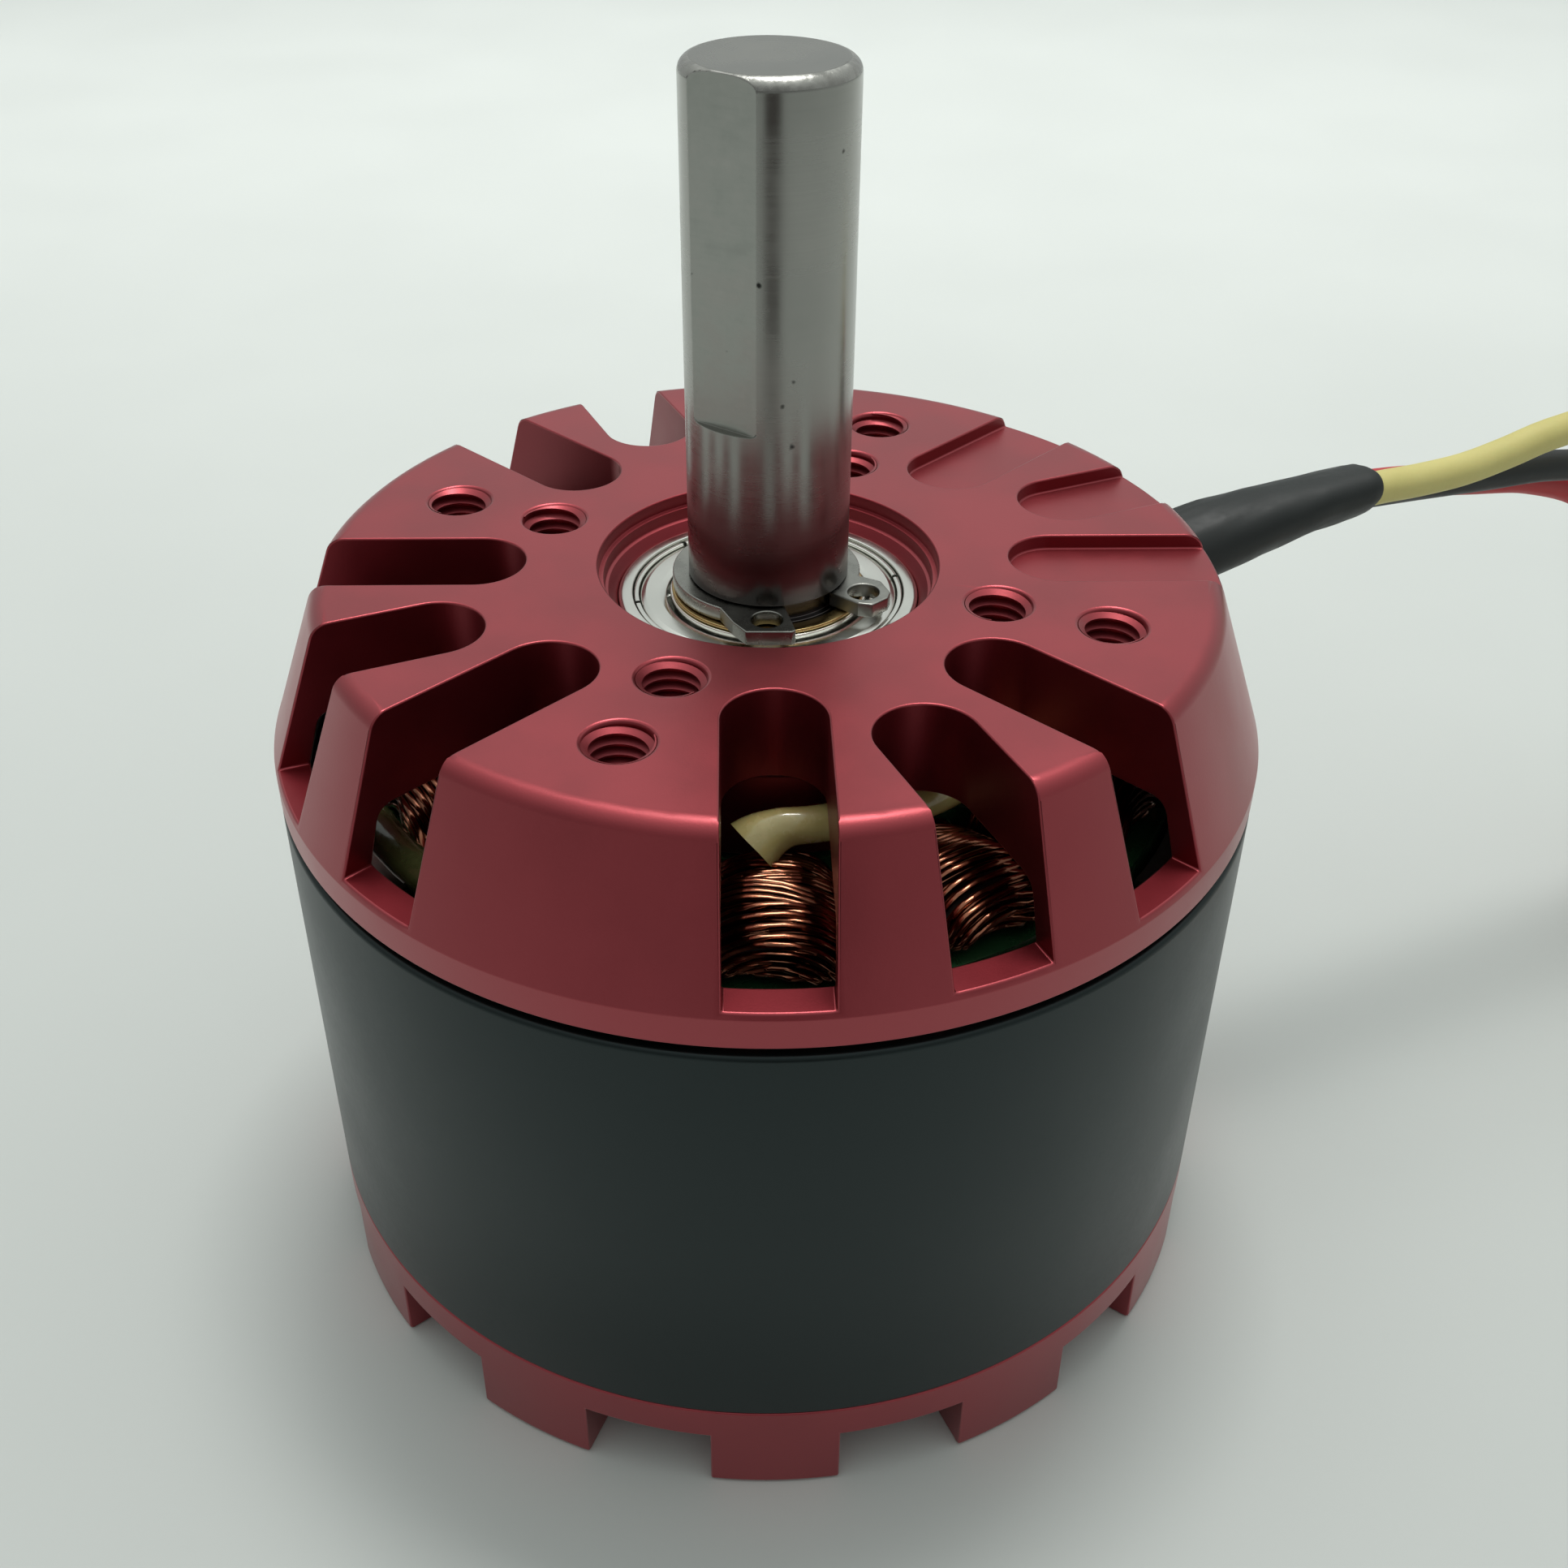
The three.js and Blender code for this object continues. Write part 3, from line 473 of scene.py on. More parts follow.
def loft(rings, closed=False):
    """Joins rings of points into one skin, with a face over each end unless it is closed."""
    n = len(rings[0])
    points = [Vector(p) for r in rings for p in r]
    faces = []
    for i in range(len(rings) if closed else len(rings) - 1):
        a, b = i * n, (i + 1) % len(rings) * n
        faces.extend((a + k, a + (k + 1) % n, b + (k + 1) % n, b + k) for k in range(n))
    if not closed:
        faces.append(tuple(reversed(range(n))))
        faces.append(tuple(range((len(rings) - 1) * n, len(rings) * n)))
    return points, faces


def smooth_path(points, spacing):
    """A centripetal Catmull-Rom curve through the points, as points about spacing apart."""
    points = [Vector(p) for p in points]
    ends = [points[0] * 2 - points[1], *points, points[-1] * 2 - points[-2]]
    path = []
    for a, b, c, d in zip(ends, ends[1:], ends[2:], ends[3:]):
        t1 = (b - a).length ** 0.5
        t2 = t1 + (c - b).length ** 0.5
        t3 = t2 + (d - c).length ** 0.5
        steps = max(1, round((c - b).length / spacing))
        for k in range(steps):
            t = t1 + (t2 - t1) * k / steps
            ab = a.lerp(b, t / t1)
            bc = b.lerp(c, (t - t1) / (t2 - t1))
            cd = c.lerp(d, (t - t2) / (t3 - t2))
            abc = ab.lerp(bc, t / t2)
            bcd = bc.lerp(cd, (t - t1) / (t3 - t1))
            path.append(abc.lerp(bcd, (t - t1) / (t2 - t1)))
    return [*path, points[-1]]


def frames_along(path, up=Vector((0, 0, 1))):
    """(point, side, top, direction) at each point of a path, without twist."""
    frames = []
    normal = None
    for i, p in enumerate(path):
        ahead = (path[min(i + 1, len(path) - 1)] - path[max(i - 1, 0)]).normalized()
        if normal is None:
            normal = up
        normal = (normal - ahead * normal.dot(ahead)).normalized()
        frames.append((p, normal.cross(ahead).normalized(), normal, ahead))
    return frames


def tube(path, radius, sides=20):
    """A closed tube. radius is a number, or a function of the share along and the angle."""
    rings = []
    for i, (p, side, top, _) in enumerate(frames_along(path)):
        section = []
        for k in range(sides):
            a = -2 * math.pi * k / sides
            r = radius(i / (len(path) - 1), a) if callable(radius) else radius
            section.append(p + side * (r * math.cos(a)) + top * (r * math.sin(a)))
        rings.append(section)
    return loft(rings)


# ---- Pieces ----
def new_object(name, shape):
    points, faces = shape
    mesh = bpy.data.meshes.new(name)
    mesh.from_pydata([Vector(p) * MM for p in points], [], faces)
    mesh.validate()
    made = bpy.data.objects.new(name, mesh)
    bpy.context.scene.collection.objects.link(made)
    return made


def apply_modifiers(piece):
    graph = bpy.context.evaluated_depsgraph_get()
    mesh = bpy.data.meshes.new_from_object(piece.evaluated_get(graph))
    piece.modifiers.clear()
    old = piece.data
    piece.data = mesh
    bpy.data.meshes.remove(old)


def cut(piece, shapes):
    """Takes closed shapes that don't touch each other out of a piece."""
    cutter = new_object("cutter", merged(shapes))
    modifier = piece.modifiers.new("cut", "BOOLEAN")
    modifier.object = cutter
    modifier.operation = "DIFFERENCE"
    modifier.solver = "EXACT"
    apply_modifiers(piece)
    bpy.data.objects.remove(cutter)


def join_flat_faces(piece):
    """One face for each flat area, so that no needless edge runs up to a cut's rim."""
    mesh = bmesh.new()
    mesh.from_mesh(piece.data)
    bmesh.ops.remove_doubles(mesh, verts=mesh.verts, dist=0.003 * MM)
    bmesh.ops.dissolve_degenerate(mesh, edges=mesh.edges, dist=0.0015 * MM)
    bmesh.ops.dissolve_limit(mesh, angle_limit=math.radians(0.3), verts=mesh.verts,
                             edges=mesh.edges)
    mesh.to_mesh(piece.data)
    mesh.free()


def break_edges(piece, width, angle=30, segments=3, material_index=-1):
    """Rounds every edge sharper than the angle, as tumbling or blasting does."""
    join_flat_faces(piece)
    modifier = piece.modifiers.new("edges", "BEVEL")
    modifier.limit_method = "ANGLE"
    modifier.angle_limit = math.radians(angle)
    modifier.width = width * MM
    modifier.segments = segments
    modifier.use_clamp_overlap = False
    modifier.loop_slide = False
    modifier.material = material_index
    apply_modifiers(piece)


def shade(piece, angle=40, weighted=False):
    piece.data.shade_smooth()
    piece.data.set_sharp_from_angle(angle=math.radians(angle))
    if weighted:
        modifier = piece.modifiers.new("normals", "WEIGHTED_NORMAL")
        modifier.keep_sharp = True
        apply_modifiers(piece)


def dress(piece, *materials):
    piece.data.materials.clear()
    for material in materials:
        piece.data.materials.append(MATERIALS[material])


def stand_for(piece, node):
    """The piece is shown instead of the CAD node, and moves with the node's body."""
    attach(piece, BODY_OF[node])
    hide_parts(node)


def fine_piece(node, shape, material=None, angle=40, suffix="_fine"):
    """Shows a finely made shape instead of a CAD node."""
    piece = new_object(node + suffix, shape)
    dress(piece, material or SLOT_OF[node])
    shade(piece, angle)
    stand_for(piece, node)
    return piece


# ---- Cable ----
def cable_point(point):
    return turn_z(CABLE_AZIMUTH) @ Vector(point)


def along_line(outline, start, direction, facets=40):
    turn = direction.to_track_quat("Z", "Y").to_matrix().to_4x4()
    return moved(turned(outline, facets), turn, Matrix.Translation(start))


def lead(colour, route):
    """One phase lead with its boot and bullet. It starts inside the heat-shrink's mouth."""
    out, side, up = route[0]
    mouth = (out - 3.5, side * 0.93, up - 0.25 * (up - 46))
    path = smooth_path([cable_point(p) for p in [mouth, *route]], 0.9)
    points = [cable_point(p) for p in route]
    direction = points[-1] - points[-2]
    direction.z = 0
    direction.normalize()
    wire = new_object(f"phase_lead_{colour}_fine", tube(path, LEAD_R, 24))
    boot_outline = rounded([
        (0, 0), (1.62, 0, 0.2), (BOOT_R - 0.2, 0.9, 0.4), (BOOT_R, 2.2, 0.5),
        (BOOT_R, BOOT_L - 1.2, 0.4), (BOOT_R - 0.22, BOOT_L, 0.2), (0, BOOT_L),
    ])
    bullet_outline = rounded([
        (0, 0), (BULLET_R - 0.2, 0, 0.12), (BULLET_R - 0.2, 1.5, 0.08), (BULLET_R - 0.5, 1.7, 0.08),
        (BULLET_R - 0.5, 2.3, 0.08), (BULLET_R, 4.3, 1.5), (BULLET_R - 0.12, 8.0, 1.5),
        (BULLET_R - 0.75, BULLET_L - 0.5, 0.5), (0.7, BULLET_L, 0.2), (0, BULLET_L),
    ])
    boot_start = points[-1] + direction * END_GAP
    bullet_start = boot_start + direction * (BOOT_L + END_GAP)
    boot = new_object(f"connector_boot_{colour}_fine", along_line(boot_outline, boot_start, direction))
    bullet = new_object(f"bullet_connector_{colour}_fine",
                        along_line(bullet_outline, bullet_start, direction))
    for k in range(2):
        slit = prism([(2.6, -0.14), (BULLET_L - 1.4, -0.14), (BULLET_L - 1.4, 0.14), (2.6, 0.14)],
                     -3, 3)
        spin = Matrix.Rotation(math.pi / 2 * k, 4, "X")
        turn = direction.to_track_quat("X", "Z").to_matrix().to_4x4()
        cut(bullet, [moved(slit, spin, turn, Matrix.Translation(bullet_start))])
    for piece, name in ((wire, f"phase_lead_{colour}"), (boot, f"connector_boot_{colour}"),
                        (bullet, f"bullet_connector_{colour}")):
        dress(piece, SLOT_OF[name])
        shade(piece)
        stand_for(piece, name)


def sleeve_ring(row, inset=0.0, sides=64):
    """One section of the heat-shrink. The leads inside show as three low swells."""
    out, up, half_width, half_height, lean = row
    lean = math.radians(lean)
    points = []
    for k in range(sides):
        a = 2 * math.pi * k / sides
        across, rise = (half_width - inset) * math.cos(a), (half_height - inset) * math.sin(a)
        swell = 0.05 * math.cos(3 * math.pi * math.cos(a)) * abs(math.sin(a))
        swell += 0.09 * noise.noise(Vector((out * 0.35, across * 0.5, rise * 0.5)))
        rise += math.copysign(swell, rise) - 0.05 * math.sin(a)
        side = across * math.cos(lean) - rise * math.sin(lean)
        height = across * math.sin(lean) + rise * math.cos(lean)
        points.append(cable_point((out, side, up + height)))
    return points


def lead_sleeve():
    """Heat-shrink: a thin hollow sleeve whose mouth is open, with a rolled lip."""
    rows = []
    for a, b in zip(SLEEVE_ROWS, SLEEVE_ROWS[1:]):
        for i in range(5):
            rows.append(tuple(x + (y - x) * i / 5 for x, y in zip(a, b)))
    rows.append(SLEEVE_ROWS[-1])
    mouth = SLEEVE_ROWS[-1]
    rings = [sleeve_ring(row) for row in rows[:-1]]
    wall = 0.42
    for inset, back in ((0.02, 0.22), (0.1, 0.06), (0.21, 0.0), (0.32, 0.06), (0.4, 0.22)):
        rings.append(sleeve_ring((mouth[0] - back, *mouth[1:]), inset))
    for back in (1, 2, 3.2):
        rings.append(sleeve_ring((mouth[0] - back, *mouth[1:]), wall))
    fine_piece("lead_sleeve", loft(rings))


def add_cable():
    for colour, route in LEAD_ROUTES.items():
        lead(colour, route)
    lead_sleeve()


# ---- Mount cap ----
def cap_outline():
    underside = CAP_TOP - PLATE
    boss_end = CORE_TOP + 0.3
    step_r, step_z = RECESS_R - RECESS_STEP, CAP_TOP - RECESS_STEP_DEPTH
    seat_r = BEARING_R + 0.05
    shoulder_r = 8.6
    rear_shoulder = REAR_BEARING_Z + BEARING_H + 0.1
    front_shoulder = FRONT_BEARING_Z - 0.1
    return rounded([
        (RECESS_R, CAP_TOP, 0.12), (RECESS_R, step_z, 0.06), (step_r, step_z, 0.06),
        (step_r, RECESS_FLOOR, 0.1), (10.1, RECESS_FLOOR - 0.08, 0.06),
        (seat_r, 47.9, 0.1), (seat_r, front_shoulder), (shoulder_r, front_shoulder),
        (shoulder_r, rear_shoulder), (seat_r, rear_shoulder), (seat_r, TUBE_END, 0.15),
        (TUBE_R, TUBE_END, 0.2), (TUBE_R, boss_end), (BOSS_R, boss_end, 0.2),
        (BOSS_R, underside, 0.3), (PLATE_CORNER_R, underside, 1.2), (RIM_IN_R - 0.2, SLOT_FLOOR),
        (RIM_IN_R, RIM_BOTTOM, 0.1), (CAN_R, RIM_BOTTOM, 0.12), (CAN_R, CONE_FOOT, 0.35),
        (CONE_TOP_R, CAP_TOP, CAP_EDGE),
    ], 6)


def slot_outline(inner_r, width, outer_r=OUTSIDE_R):
    half = width / 2
    inner_end = arc((inner_r + half, 0), half, 90, 270, 28)
    return [*inner_end, (outer_r, -half), (outer_r, half)]


def slot_shapes():
    shapes = []
    for quarter in range(4):
        for i, inner_r in enumerate(SLOT_INNER_R):
            azimuth = HOLE_AZIMUTH + 90 * quarter + SLOT_STEP * (i + 1)
            floor = CAP_TOP - BLIND_SLOT_DEPTH if quarter == 0 else SLOT_FLOOR
            shape = prism(slot_outline(inner_r, SLOT_WIDTH), floor, CAP_TOP + 2)
            shapes.append(moved(shape, turn_z(azimuth)))
    return shapes


def hole_places():
    return [polar(r, HOLE_AZIMUTH + 90 * quarter) for quarter in range(4) for r in HOLE_RADII]


def hole_shape():
    low, high = CAP_TOP - PLATE - 1, CAP_TOP + 1
    major, mouth = THREAD_R[1] + 0.02, THREAD_R[1] + 0.16
    return turned([
        (0, low), (major, low), (major, CAP_TOP - 0.2), (mouth, CAP_TOP), (mouth, high), (0, high),
    ], 64)


def window_shape():
    r, half = WINDOW_CORNER, WINDOW_HALF
    low, high = WINDOW_Z
    outline = rounded([(-half, low, r), (half, low, r), (half, high, r), (-half, high, r)], 8)
    return moved(prism(outline, 17.6, OUTSIDE_R), Matrix.Rotation(math.pi / 2, 4, "X"),
                 turn_z(90), turn_z(CABLE_AZIMUTH))


def thread_ridge():
    """The ridge that an M4 thread leaves in its hole, as one closed helix about Z."""
    minor, major = THREAD_R
    low, high = CAP_TOP - PLATE - 0.2, CAP_TOP - 0.12
    per_turn = 36
    count = round((high - low) / THREAD_PITCH * per_turn)
    rings = []
    for k in range(count + 1):
        azimuth = 360 * k / per_turn
        z = low + (high - low) * k / count
        fade = min(1, k / 12, (count - k) / 14)
        crest = major - (major - minor) * max(0.05, fade)
        wide, narrow = 0.3 * max(0.25, fade), 0.06
        rings.append([polar(major + 0.05, azimuth, z - wide), polar(crest, azimuth, z - narrow),
                      polar(crest, azimuth, z + narrow), polar(major + 0.05, azimuth, z + wide)])
    return loft(rings)


def mark_painted_shade_faces(cap):
    """Paints the cap's upright walls, the slot ledges and the bearing recess a darker red with less coat,
    as painted shade.
    """
    rim_from = (CAN_R - 0.55) * MM
    for face in cap.data.polygons:
        outward = Vector((face.center.x, face.center.y, 0)).normalized()
        in_rim = face.center.xy.length > rim_from and face.normal.dot(outward) > 0.9
        wall = abs(face.normal.z) < 0.2 and not in_rim
        ledge = face.normal.z > 0.9 and face.center.z < (SLOT_FLOOR + 1) * MM
        recess = face.center.xy.length < (RECESS_R + 1.8) * MM and face.normal.z < 0.95
        if recess or (face.material_index == 0 and (wall or ledge)):
            face.material_index = 2


def add_cap():
    cap = new_object("mount_cap_fine", turned(cap_outline(), ROUND))
    dress(cap, "red_anodised", "red_edge_wear_and_highlight", "red_painted_shade")
    cut(cap, slot_shapes())
    cut(cap, [moved(hole_shape(), Matrix.Translation(p)) for p in hole_places()])
    cut(cap, [window_shape()])
    # the rounded edges take the second finish, partly rubbed wear and partly painted highlight
    break_edges(cap, 0.13, angle=32, material_index=1)
    # painted shade on the slot walls, the low ledges and the recess
    mark_painted_shade_faces(cap)
    shade(cap, 40, weighted=True)
    stand_for(cap, "mount_cap")
    ridges = [moved(thread_ridge(), turn_z(70 * i), Matrix.Translation(p))
              for i, p in enumerate(hole_places())]
    threads = new_object("mount_hole_threads", merged(ridges))
    dress(threads, "red_anodised")
    shade(threads, 30)
    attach(threads, "stator")


# ---- Stator ----
def coil_profile():
    """Where the strands lie, seen from the side: (radius, thickness of the winding)."""
    corners = [(16.6, 0.45), (16.45, 1.0), (16.75, 1.65), (19.5, 2.45), (22.0, 3.35), (23.2, 3.5),
               (24.1, 3.0), (24.55, 2.1), (24.62, 1.2), (24.62, 0.45)]
    path = smooth_path([Vector((*c, 0)) for c in corners], 0.05)
    spaced = [path[0]]
    for p in path:
        if (p - spaced[-1]).length >= STRAND_PITCH:
            spaced.append(p)
    return spaced


def loop_places():
    """(across, rise, side) round a loop: across is -1 to 1, rise is 0 to 1 over an arch, and
    side runs from -1 to 1 up the tooth."""
    places = []
    for end in (1, -1):
        for k in range(SIDE_STEPS):
            places.append((end, 0.0, end * (2 * (k + 0.5) / SIDE_STEPS - 1)))
        for k in range(ARCH_STEPS):
            a = math.pi * (k + 0.5) / ARCH_STEPS
            across = math.copysign(abs(math.cos(a)) ** 0.86, math.cos(a)) * end
            places.append((across, math.sin(a) ** 0.86, end))
    return places


def coil_loop(radius, thickness, lean=0.0, tilt=0.0, seeds=None):
    """A loop of wire round a tooth on +X. Its seeds are the bundle's and the strand's."""
    middle = (CORE_TOP + CORE_BOTTOM) / 2
    core_half = (CORE_TOP - CORE_BOTTOM) / 2
    points = []
    for across, rise, side in loop_places():
        pile = thickness
        shift = 0.0
        if seeds:
            bundle, strand = seeds
            where = Vector((1.5 * across, side * (0.6 + rise), bundle))
            pile += 0.26 * noise.noise(where) + 0.09 * noise.noise(Vector((4 * across, side, strand)))
            shift = 0.22 * noise.noise(where + Vector((9, 4, 2)))
        half_width = TOOTH_HALF + 0.45 + 0.5 * pile
        arch = 0.92 * half_width
        shoulder = core_half + 0.35 + pile - arch
        height = (shoulder + arch * rise) if abs(side) == 1 else shoulder * abs(side)
        over = min(1.0, max(0.0, (height - core_half - 0.1) / 0.7))
        out = lean * over * max(0.0, (radius - 20) / 4.6) ** 1.3
        points.append(Vector((
            radius + out + tilt * across + shift, half_width * across,
            middle + math.copysign(height, side),
        )))
    return points


def coil_strand(points):
    """A closed wire through the loop's points."""
    axis = Vector((1, 0, 0))
    rings = []
    n = len(points)
    for k, p in enumerate(points):
        ahead = (points[(k + 1) % n] - points[k - 1]).normalized()
        outward = ahead.cross(axis).normalized()
        sideways = outward.cross(ahead)
        rings.append([p + outward * (STRAND_R * math.cos(b)) + sideways * (STRAND_R * math.sin(b))
                      for b in (2 * math.pi * s / 6 for s in range(6))])
    return loft(rings, closed=True)


def coil_strands(number, profile, lean):
    """Two layers of bundles. Each bundle crosses its neighbours at a small angle."""
    strands = []
    for layer, depth in enumerate((0.0, LAYER_DEPTH)):
        for j, p in enumerate(profile):
            bundle = (j + 2 * layer) // BUNDLE
            seed = 3.7 * bundle + 17 * number + 101 * layer
            slope = 0.55 if (bundle + layer) % 2 else -0.25
            tilt = slope + 0.4 * noise.noise(Vector((seed, 0.5, 2.5)))
            thickness = max(0.3, p.y - depth) + (0.1 if slope > 0 else -0.06)
            seeds = (seed, seed + 0.45 * j)
            strands.append(coil_strand(coil_loop(p.x, thickness, lean, tilt, seeds)))
    return merged(strands)


def coil_fill(profile, lean):
    """The mass of wire under the strands, coloured near black as painted shade."""
    rows = [(16.75, -0.15), *((p.x, p.y - 0.62) for p in profile), (24.3, -0.15)]
    centre = Vector((20.6, 1.0))
    loops = []
    for radius, thickness in rows:
        inward = (centre - Vector((radius, thickness))) * 0.05
        loops.append(coil_loop(radius + inward.x, max(-0.15, thickness + inward.y), lean))
    return loft(loops, closed=True)


def add_coils():
    profile = coil_profile()
    for i in range(TEETH):
        node = f"coil_{i + 1:02d}"
        lean = LEAN.get(i + 1, COMMON_LEAN)
        wires = coil_strands(i, profile, lean)
        shape = moved(merged([wires, coil_fill(profile, lean)]), turn_z(-90 + 360 / TEETH * i))
        piece = new_object(node + "_strands", shape)
        dress(piece, "copper_enamel", "coil_shadow")
        for face in piece.data.polygons[len(wires[1]):]:
            face.material_index = 1
        shade(piece, 60)
        stand_for(piece, node)


def arc_points(radius, start, end, z, step=6):
    count = math.ceil(abs(end - start) / step)
    return [polar(radius, start + (end - start) * k / count, z) for k in range(count + 1)]


def sleeving(path, seed, end_droop, end_cut):
    """Soft sleeving with an open end, which droops and is cut at an angle."""
    sides, wall = 24, 0.8
    down_slope = Vector((0, 0.6, 0.8))
    rings = []
    walked = 0.0
    frames = frames_along(path)
    for k, (p, side, top, ahead) in enumerate(frames):
        walked += (p - path[k - 1]).length if k else 0.0
        droop = end_droop * max(0.0, 1 - walked / 2.4) ** 2
        slant = end_cut * max(0.0, 1 - walked / 3.2)
        section = []
        for s in range(sides):
            a = -2 * math.pi * s / sides
            around = side * math.cos(a) + top * math.sin(a)
            lump = noise.noise(Vector((walked * 0.35, math.cos(a), math.sin(a) + 7 * seed)))
            flare = 0.16 * max(0.0, 1 - walked / 1.5)
            r = LEAD_R * 0.93 + 0.1 * lump + flare
            section.append(p + around * r - down_slope * droop - ahead * (slant * around.dot(down_slope)))
        rings.append(section)
    inner = []
    for section in (rings[0], rings[2], rings[6]):
        centre = sum(section, Vector()) / sides
        inner.append([centre + (q - centre) * wall for q in section])
    return loft([*reversed(inner), *rings])


def add_phase_sleeves():
    routes = [
        [*arc_points(SLEEVE_ARC_R, -94.2, -3, SLEEVE_ARC_Z), polar(17.7, 6, 42.3),
         polar(19.5, 14, 42.7),
         *map(cable_point, [(22, -1.7, 43.3), (25, -1.45, 43.6), (28.2, -1.4, 43)])],
        [*arc_points(SLEEVE_ARC_R, 150, 48, SLEEVE_ARC_Z), polar(17.7, 39, 42.3),
         polar(19.5, 31, 42.7),
         *map(cable_point, [(22, 1.7, 43.3), (25, 1.45, 43.6), (28.2, 1.4, 43)])],
        list(map(cable_point, [(17, 0, SLEEVE_ARC_Z), (19, 0, 43.9), (21, 0, 45.6),
                               (24, 0, 45.9), (28.2, 0, 45.7)])),
    ]
    ends = [(1.17, 1.25), (0.5, 0.6), (0.0, 0.4)]
    for i, (route, (droop, slant)) in enumerate(zip(routes, ends)):
        shape = sleeving(smooth_path(route, 0.3), i, droop, slant)
        fine_piece(f"phase_sleeve_{i + 1}", shape, angle=50)
    star = smooth_path(arc_points(27.2, -153, -129, 39.6, 4), 0.5)

    def star_radius(share, angle):
        ends = min(1.0, 0.55 + 6 * min(share, 1 - share))
        lump = noise.noise(Vector((share * 8, math.cos(angle), math.sin(angle) + 31)))
        return 1.18 * ends + 0.04 * lump

    fine_piece("star_point_sleeve", tube(star, star_radius, 24), "olive_sleeving")


# ---- Bearings ----
def crimp_segments(low, high):
    """The crimped rim that holds a shield, in six lengths with a notch between them."""
    segments = []
    for k in range(6):
        start, end = 60 * k + 12, 60 * k + 70
        count = 24
        rings = []
        for s in range(count + 1):
            azimuth = start + (end - start) * s / count
            corners = rounded([(8.2, low, 0.08), (8.5, low, 0.08), (8.5, high, 0.08),
                               (8.2, high, 0.08)], 2)
            rings.append([polar(r, azimuth, z) for r, z in corners])
        segments.append(loft([list(reversed(r)) for r in rings]))
    return segments


def shield(outer_face, facing):
    """A pressed shield whose edge is turned in. facing is 1 for an upper and -1 for a lower."""
    def at(r, depth, radius=0.0):
        return (r, outer_face - facing * depth, radius)

    inner, outer = SHIELD_R
    corners = [at(inner, 0.5, 0.06), at(outer, 0.5, 0.06), at(outer, 0.3, 0.1),
               at(7.75, 0.17, 0.1), at(6.85, 0.21, 0.3), at(inner, 0.34, 0.08)]
    if facing < 0:
        corners.reverse()
    disc = turned(rounded(corners, 4), SMALL_ROUND)
    edges = sorted((outer_face - facing * 0.12, outer_face - facing * 0.45))
    return merged([disc, *crimp_segments(*edges)])


def add_bearings():
    for name, z in (("front_bearing", FRONT_BEARING_Z), ("rear_bearing", REAR_BEARING_Z)):
        top = z + BEARING_H
        outer = rounded([
            (OUTER_RING_IN_R, z, 0.08), (BEARING_R, z, 0.3), (BEARING_R, top, 0.3),
            (OUTER_RING_IN_R, top, 0.08),
        ], 4)
        fine_piece(f"{name}_outer_ring", turned(outer, SMALL_ROUND))
        bore, land = INNER_RING_R
        inner = rounded([(bore, z, 0.25), (land, z, 0.08), (land, top, 0.08), (bore, top, 0.25)], 4)
        fine_piece(f"{name}_inner_ring", turned(inner, SMALL_ROUND))
        fine_piece(f"{name}_upper_shield", shield(top, 1))
        fine_piece(f"{name}_lower_shield", shield(z, -1))


# ---- Rotor ----
def add_shaft():
    groove_low, groove_high = GROOVE_Z
    outline = rounded([
        (0, SHAFT_END), (SHAFT_R, SHAFT_END, 0.5), (SHAFT_R, groove_low, 0.06),
        (GROOVE_R, groove_low, 0.06), (GROOVE_R, groove_high, 0.06), (SHAFT_R, groove_high, 0.08),
        (SHAFT_R, SHAFT_TOP, 0.77), (0, SHAFT_TOP),
    ], 8)
    shaft = new_object("shaft_fine", turned(outline, 192))
    dress(shaft, "ground_steel", "flat_steel", "worn_steel")
    floor = SHAFT_R - FLAT_DEPTH
    half = 2.3
    front_view = rounded([
        (-half, FLAT_START, 0.5), (half, FLAT_START, 0.5), (half, SHAFT_TOP + 5),
        (-half, SHAFT_TOP + 5),
    ], 8)
    upright = Matrix.Rotation(math.pi / 2, 4, "X")
    cut(shaft, [moved(prism(front_view, floor, SHAFT_R + 2), upright, turn_z(FLAT_AZIMUTH + 90))])
    across = polar(1, FLAT_AZIMUTH)
    for face in shaft.data.polygons:
        if face.normal.dot(across) > 0.9999 and abs(face.center.dot(across) - floor * MM) < 1e-6:
            face.material_index = 1
    break_edges(shaft, 0.05, angle=20, segments=2)
    for face in shaft.data.polygons:
        if face.center.z > (SHAFT_TOP - 0.8) * MM and 0.1 < face.normal.z < 0.97:
            face.material_index = 2
    shade(shaft, 30, weighted=True)
    stand_for(shaft, "shaft")


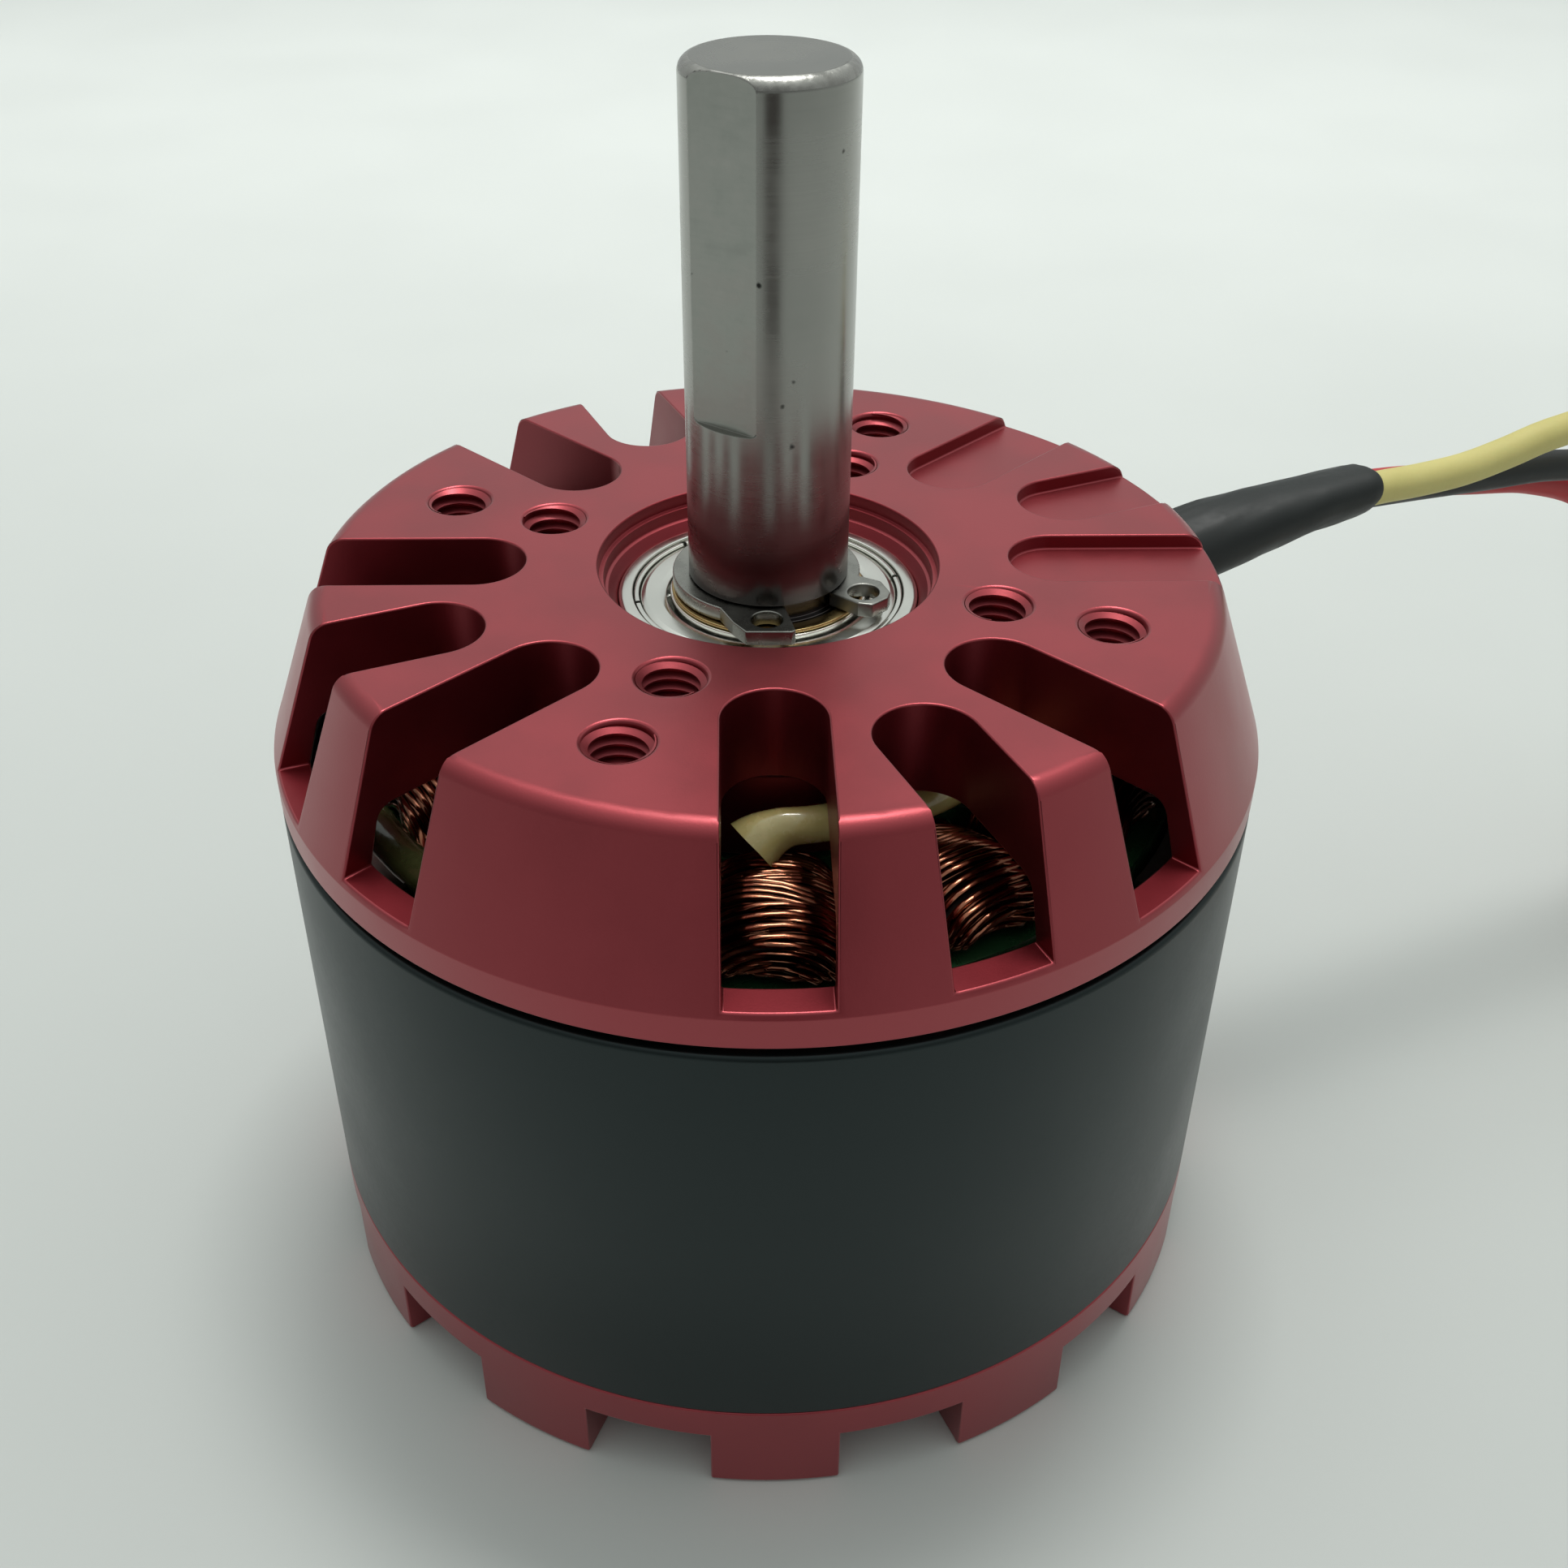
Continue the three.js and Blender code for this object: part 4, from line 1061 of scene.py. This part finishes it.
def add_retaining_ring():
    """An external circlip with two lugs, one flat and one pointed, each with a plier hole."""
    bore_r, back_r, open_r = 4.75, 6.15, 5.75
    first, second = -91.8, -27.1
    lug_end, other_end = first + 13, second - 12
    corners = [
        (*polar(bore_r, lug_end)[:2], 0.15), (*polar(7.75, first + 13)[:2], 0.15),
        (*polar(7.9, first + 11)[:2], 0.1), (*polar(7.9, first - 9)[:2], 0.15),
        (*polar(7.0, first - 17)[:2], 0.3),
    ]
    sweep = 360 - (second + 18 - (first - 30))
    for i in range(49):
        share = i / 48
        radius = open_r + (back_r - open_r) * math.sin(math.pi * share)
        corners.append(tuple(polar(radius, first - 30 - sweep * share)[:2]))
    corners += [
        (*polar(7.2, second + 14)[:2], 0.3), (*polar(8.1, second + 5)[:2], 0.2),
        (*polar(8.2, second)[:2], 0.2), (*polar(7.8, second - 9)[:2], 0.2),
        (*polar(7.0, other_end)[:2], 0.1), (*polar(bore_r, other_end)[:2], 0.15),
    ]
    bore = 360 - (other_end - lug_end)
    corners += [tuple(polar(bore_r, other_end + bore * i / 72)[:2]) for i in range(1, 72)]
    outline = list(reversed(rounded(corners, 3)))
    ring_piece = new_object("retaining_ring_fine", prism(outline, *RING_Z))
    dress(ring_piece, "spring_steel")
    holes = []
    for radius, azimuth in ((6.3, first), (6.55, second)):
        bore_outline = arc(polar(radius, azimuth)[:2], 0.98, 0, 352.5, 47)
        holes.append(prism(bore_outline, RING_Z[0] - 1, RING_Z[1] + 1))
    cut(ring_piece, holes)
    break_edges(ring_piece, 0.09, angle=40, segments=3)
    shade(ring_piece, 30, weighted=True)
    stand_for(ring_piece, "retaining_ring")


def add_can():
    corners = [
        (CAN_BORE_R, CAN_BOTTOM, 0.15), (CAN_R, CAN_BOTTOM, 0.18), (CAN_R, CAN_TOP, 0.38),
        (CAN_BORE_R, CAN_TOP, 0.2),
    ]
    fine_piece("rotor_can", turned(rounded(corners, 6), ROUND), angle=50)


def add_bell():
    bore = SHAFT_R + 0.06
    hub_end, hub_top = BELL_HUB_Z
    spigot_in, spigot_out = SPIGOT_R
    outline = rounded([
        (bore, hub_end, 0.3), (BELL_HUB_R, hub_end, 0.4), (BELL_HUB_R, BELL_FLOOR, 0.5),
        (FOOT_IN_R, BELL_FLOOR, 0.4), (FOOT_IN_R, 0, 0.2), (CAN_R, 0, 0.3),
        (CAN_R, BELL_TOP, 0.15), (spigot_out, BELL_TOP), (spigot_out, SPIGOT_TOP, 0.3),
        (spigot_in, SPIGOT_TOP, 0.2), (spigot_in, BELL_TOP, 0.3), (BELL_HUB_R, BELL_TOP, 0.6),
        (BELL_HUB_R, hub_top, 0.4), (bore, hub_top, 0.3),
    ], 4)
    bell = new_object("end_bell_fine", turned(outline, ROUND))
    dress(bell, "red_anodised", "red_edge_wear_and_highlight")
    gap_half = 90 / FEET
    gaps, windows = [], []
    for i in range(FEET):
        gap = -75 + 360 / FEET * i
        inner_r = FOOT_IN_R - 1.25
        sector = [*arc((0, 0), OUTSIDE_R, -gap_half, gap_half, 4),
                  *arc((0, 0), inner_r, gap_half, -gap_half, 16)]
        gaps.append(moved(prism(sector, -1, BELL_FLOOR), turn_z(gap)))
        half = SLOT_WIDTH / 2
        window = [*arc((BELL_WINDOW_R[0] + half, 0), half, 90, 270, 20),
                  *arc((BELL_WINDOW_R[1] - half, 0), half, -90, 90, 20)]
        windows.append(moved(prism(window, BELL_FLOOR - 1, BELL_TOP + 1), turn_z(gap)))
    cut(bell, gaps)
    cut(bell, windows)
    screws = []
    for azimuth in SET_SCREW_AZIMUTHS:
        screws.append(moved(prism(arc((0, 0), 1.65, 0, 350, 35), 4, 11),
                            Matrix.Rotation(math.pi / 2, 4, "Y"),
                            Matrix.Translation((0, 0, SET_SCREW_Z)), turn_z(azimuth)))
    cut(bell, screws)
    # the rounded edges take the second finish, partly rubbed wear and partly painted highlight
    break_edges(bell, 0.13, angle=32, material_index=1)
    shade(bell, 40, weighted=True)
    stand_for(bell, "end_bell")


def add_rotor():
    add_shaft()
    add_retaining_ring()
    add_can()
    add_bell()
    fine_piece("shim_washer", ring(5.2, 6.1, *SHIM_Z, edge=0.08))
    spacer_low, spacer_high = low_corner("shaft_spacer").z, high_corner("shaft_spacer").z
    fine_piece("shaft_spacer", ring(5.2, 6.2, spacer_low, spacer_high, edge=0.15))


def dress_cad_nodes():
    """The CAD nodes that stay get their finish, and soft corners where they are faceted."""
    for name, node in frame["nodes"].items():
        if node.hide_render:
            continue
        dress(node, SLOT_OF[name])
        node.data.shade_smooth()
        node.data.set_sharp_from_angle(angle=math.radians(32))


# ---- Floor and light ----
def add_stage():
    """The floor, and a dark card in front that only the steel's reflections show."""
    half, z = 900, -0.05
    corners = [(-half, -half, z), (half, -half, z), (half, half, z), (-half, half, z)]
    floor = new_object("floor", (corners, [(0, 1, 2, 3)]))
    dress(floor, "floor")
    left, right, y, top = -20, 34, -150, 60
    corners = [(left, y, 0), (right, y, 0), (right, y, top), (left, y, top)]
    card = new_object("black_card", (corners, [(0, 1, 2, 3)]))
    dress(card, "black_card")
    card.visible_camera = False
    card.visible_diffuse = False
    card.visible_shadow = False


def add_area_light(name, place, size, power, colour, aim, spread_angle=180):
    light = bpy.data.lights.new(name, "AREA")
    light.shape = "RECTANGLE"
    light.size, light.size_y = (s * MM for s in size)
    light.energy = power
    light.color = colour
    light.spread = math.radians(spread_angle)
    lamp = bpy.data.objects.new(name, light)
    bpy.context.scene.collection.objects.link(lamp)
    lamp.location = Vector(place) * MM
    lamp.rotation_mode = "QUATERNION"
    lamp.rotation_quaternion = (Vector(aim) - Vector(place)).to_track_quat("-Z", "Y")


def add_light():
    """A pale room that is lighter behind the motor and overhead, and two soft lamps."""
    world = bpy.data.worlds.new("studio")
    bpy.context.scene.world = world
    world.use_nodes = True
    tree = world.node_tree
    place = add_node(tree, "ShaderNodeTexCoord").outputs["Generated"]
    parts = add_node(tree, "ShaderNodeSeparateXYZ")
    tree.links.new(place, parts.inputs[0])
    aside = calculate(tree, "MULTIPLY", parts.outputs[0], 0.35)
    away = spread(tree, calculate(tree, "ADD", parts.outputs[1], aside), 0, 1, middle=0.1, contrast=0.42)
    walls = mixed(tree, away, (0.21, 0.219, 0.214), (0.52, 0.55, 0.535))
    height = calculate(tree, "POWER", calculate(tree, "MAXIMUM", parts.outputs[2], 0.0), 3.0)
    ceiling = mixed(tree, height, (0.0, 0.0, 0.0), (0.54, 0.57, 0.55))
    room = add_node(tree, "ShaderNodeMix", data_type="RGBA", blend_type="ADD")
    room.inputs["Factor"].default_value = 1.0
    tree.links.new(walls, room.inputs[6])
    tree.links.new(ceiling, room.inputs[7])
    tree.links.new(room.outputs[2], tree.nodes["Background"].inputs["Color"])
    add_area_light("key", (40, 120, 560), (170, 110), 1.0, (1.0, 0.99, 0.96), (0, 0, 30))
    add_area_light("far_floor", (0, 330, 560), (800, 260), 0.65, (1.0, 1.0, 0.98), (0, 330, 0), 72)
    view = bpy.context.scene.view_settings
    view.view_transform = "Standard"
    view.look = "None"


make_materials()
add_camera()
add_cable()
add_stage()
add_light()
add_cap()
add_coils()
add_phase_sleeves()
add_bearings()
add_rotor()
dress_cad_nodes()
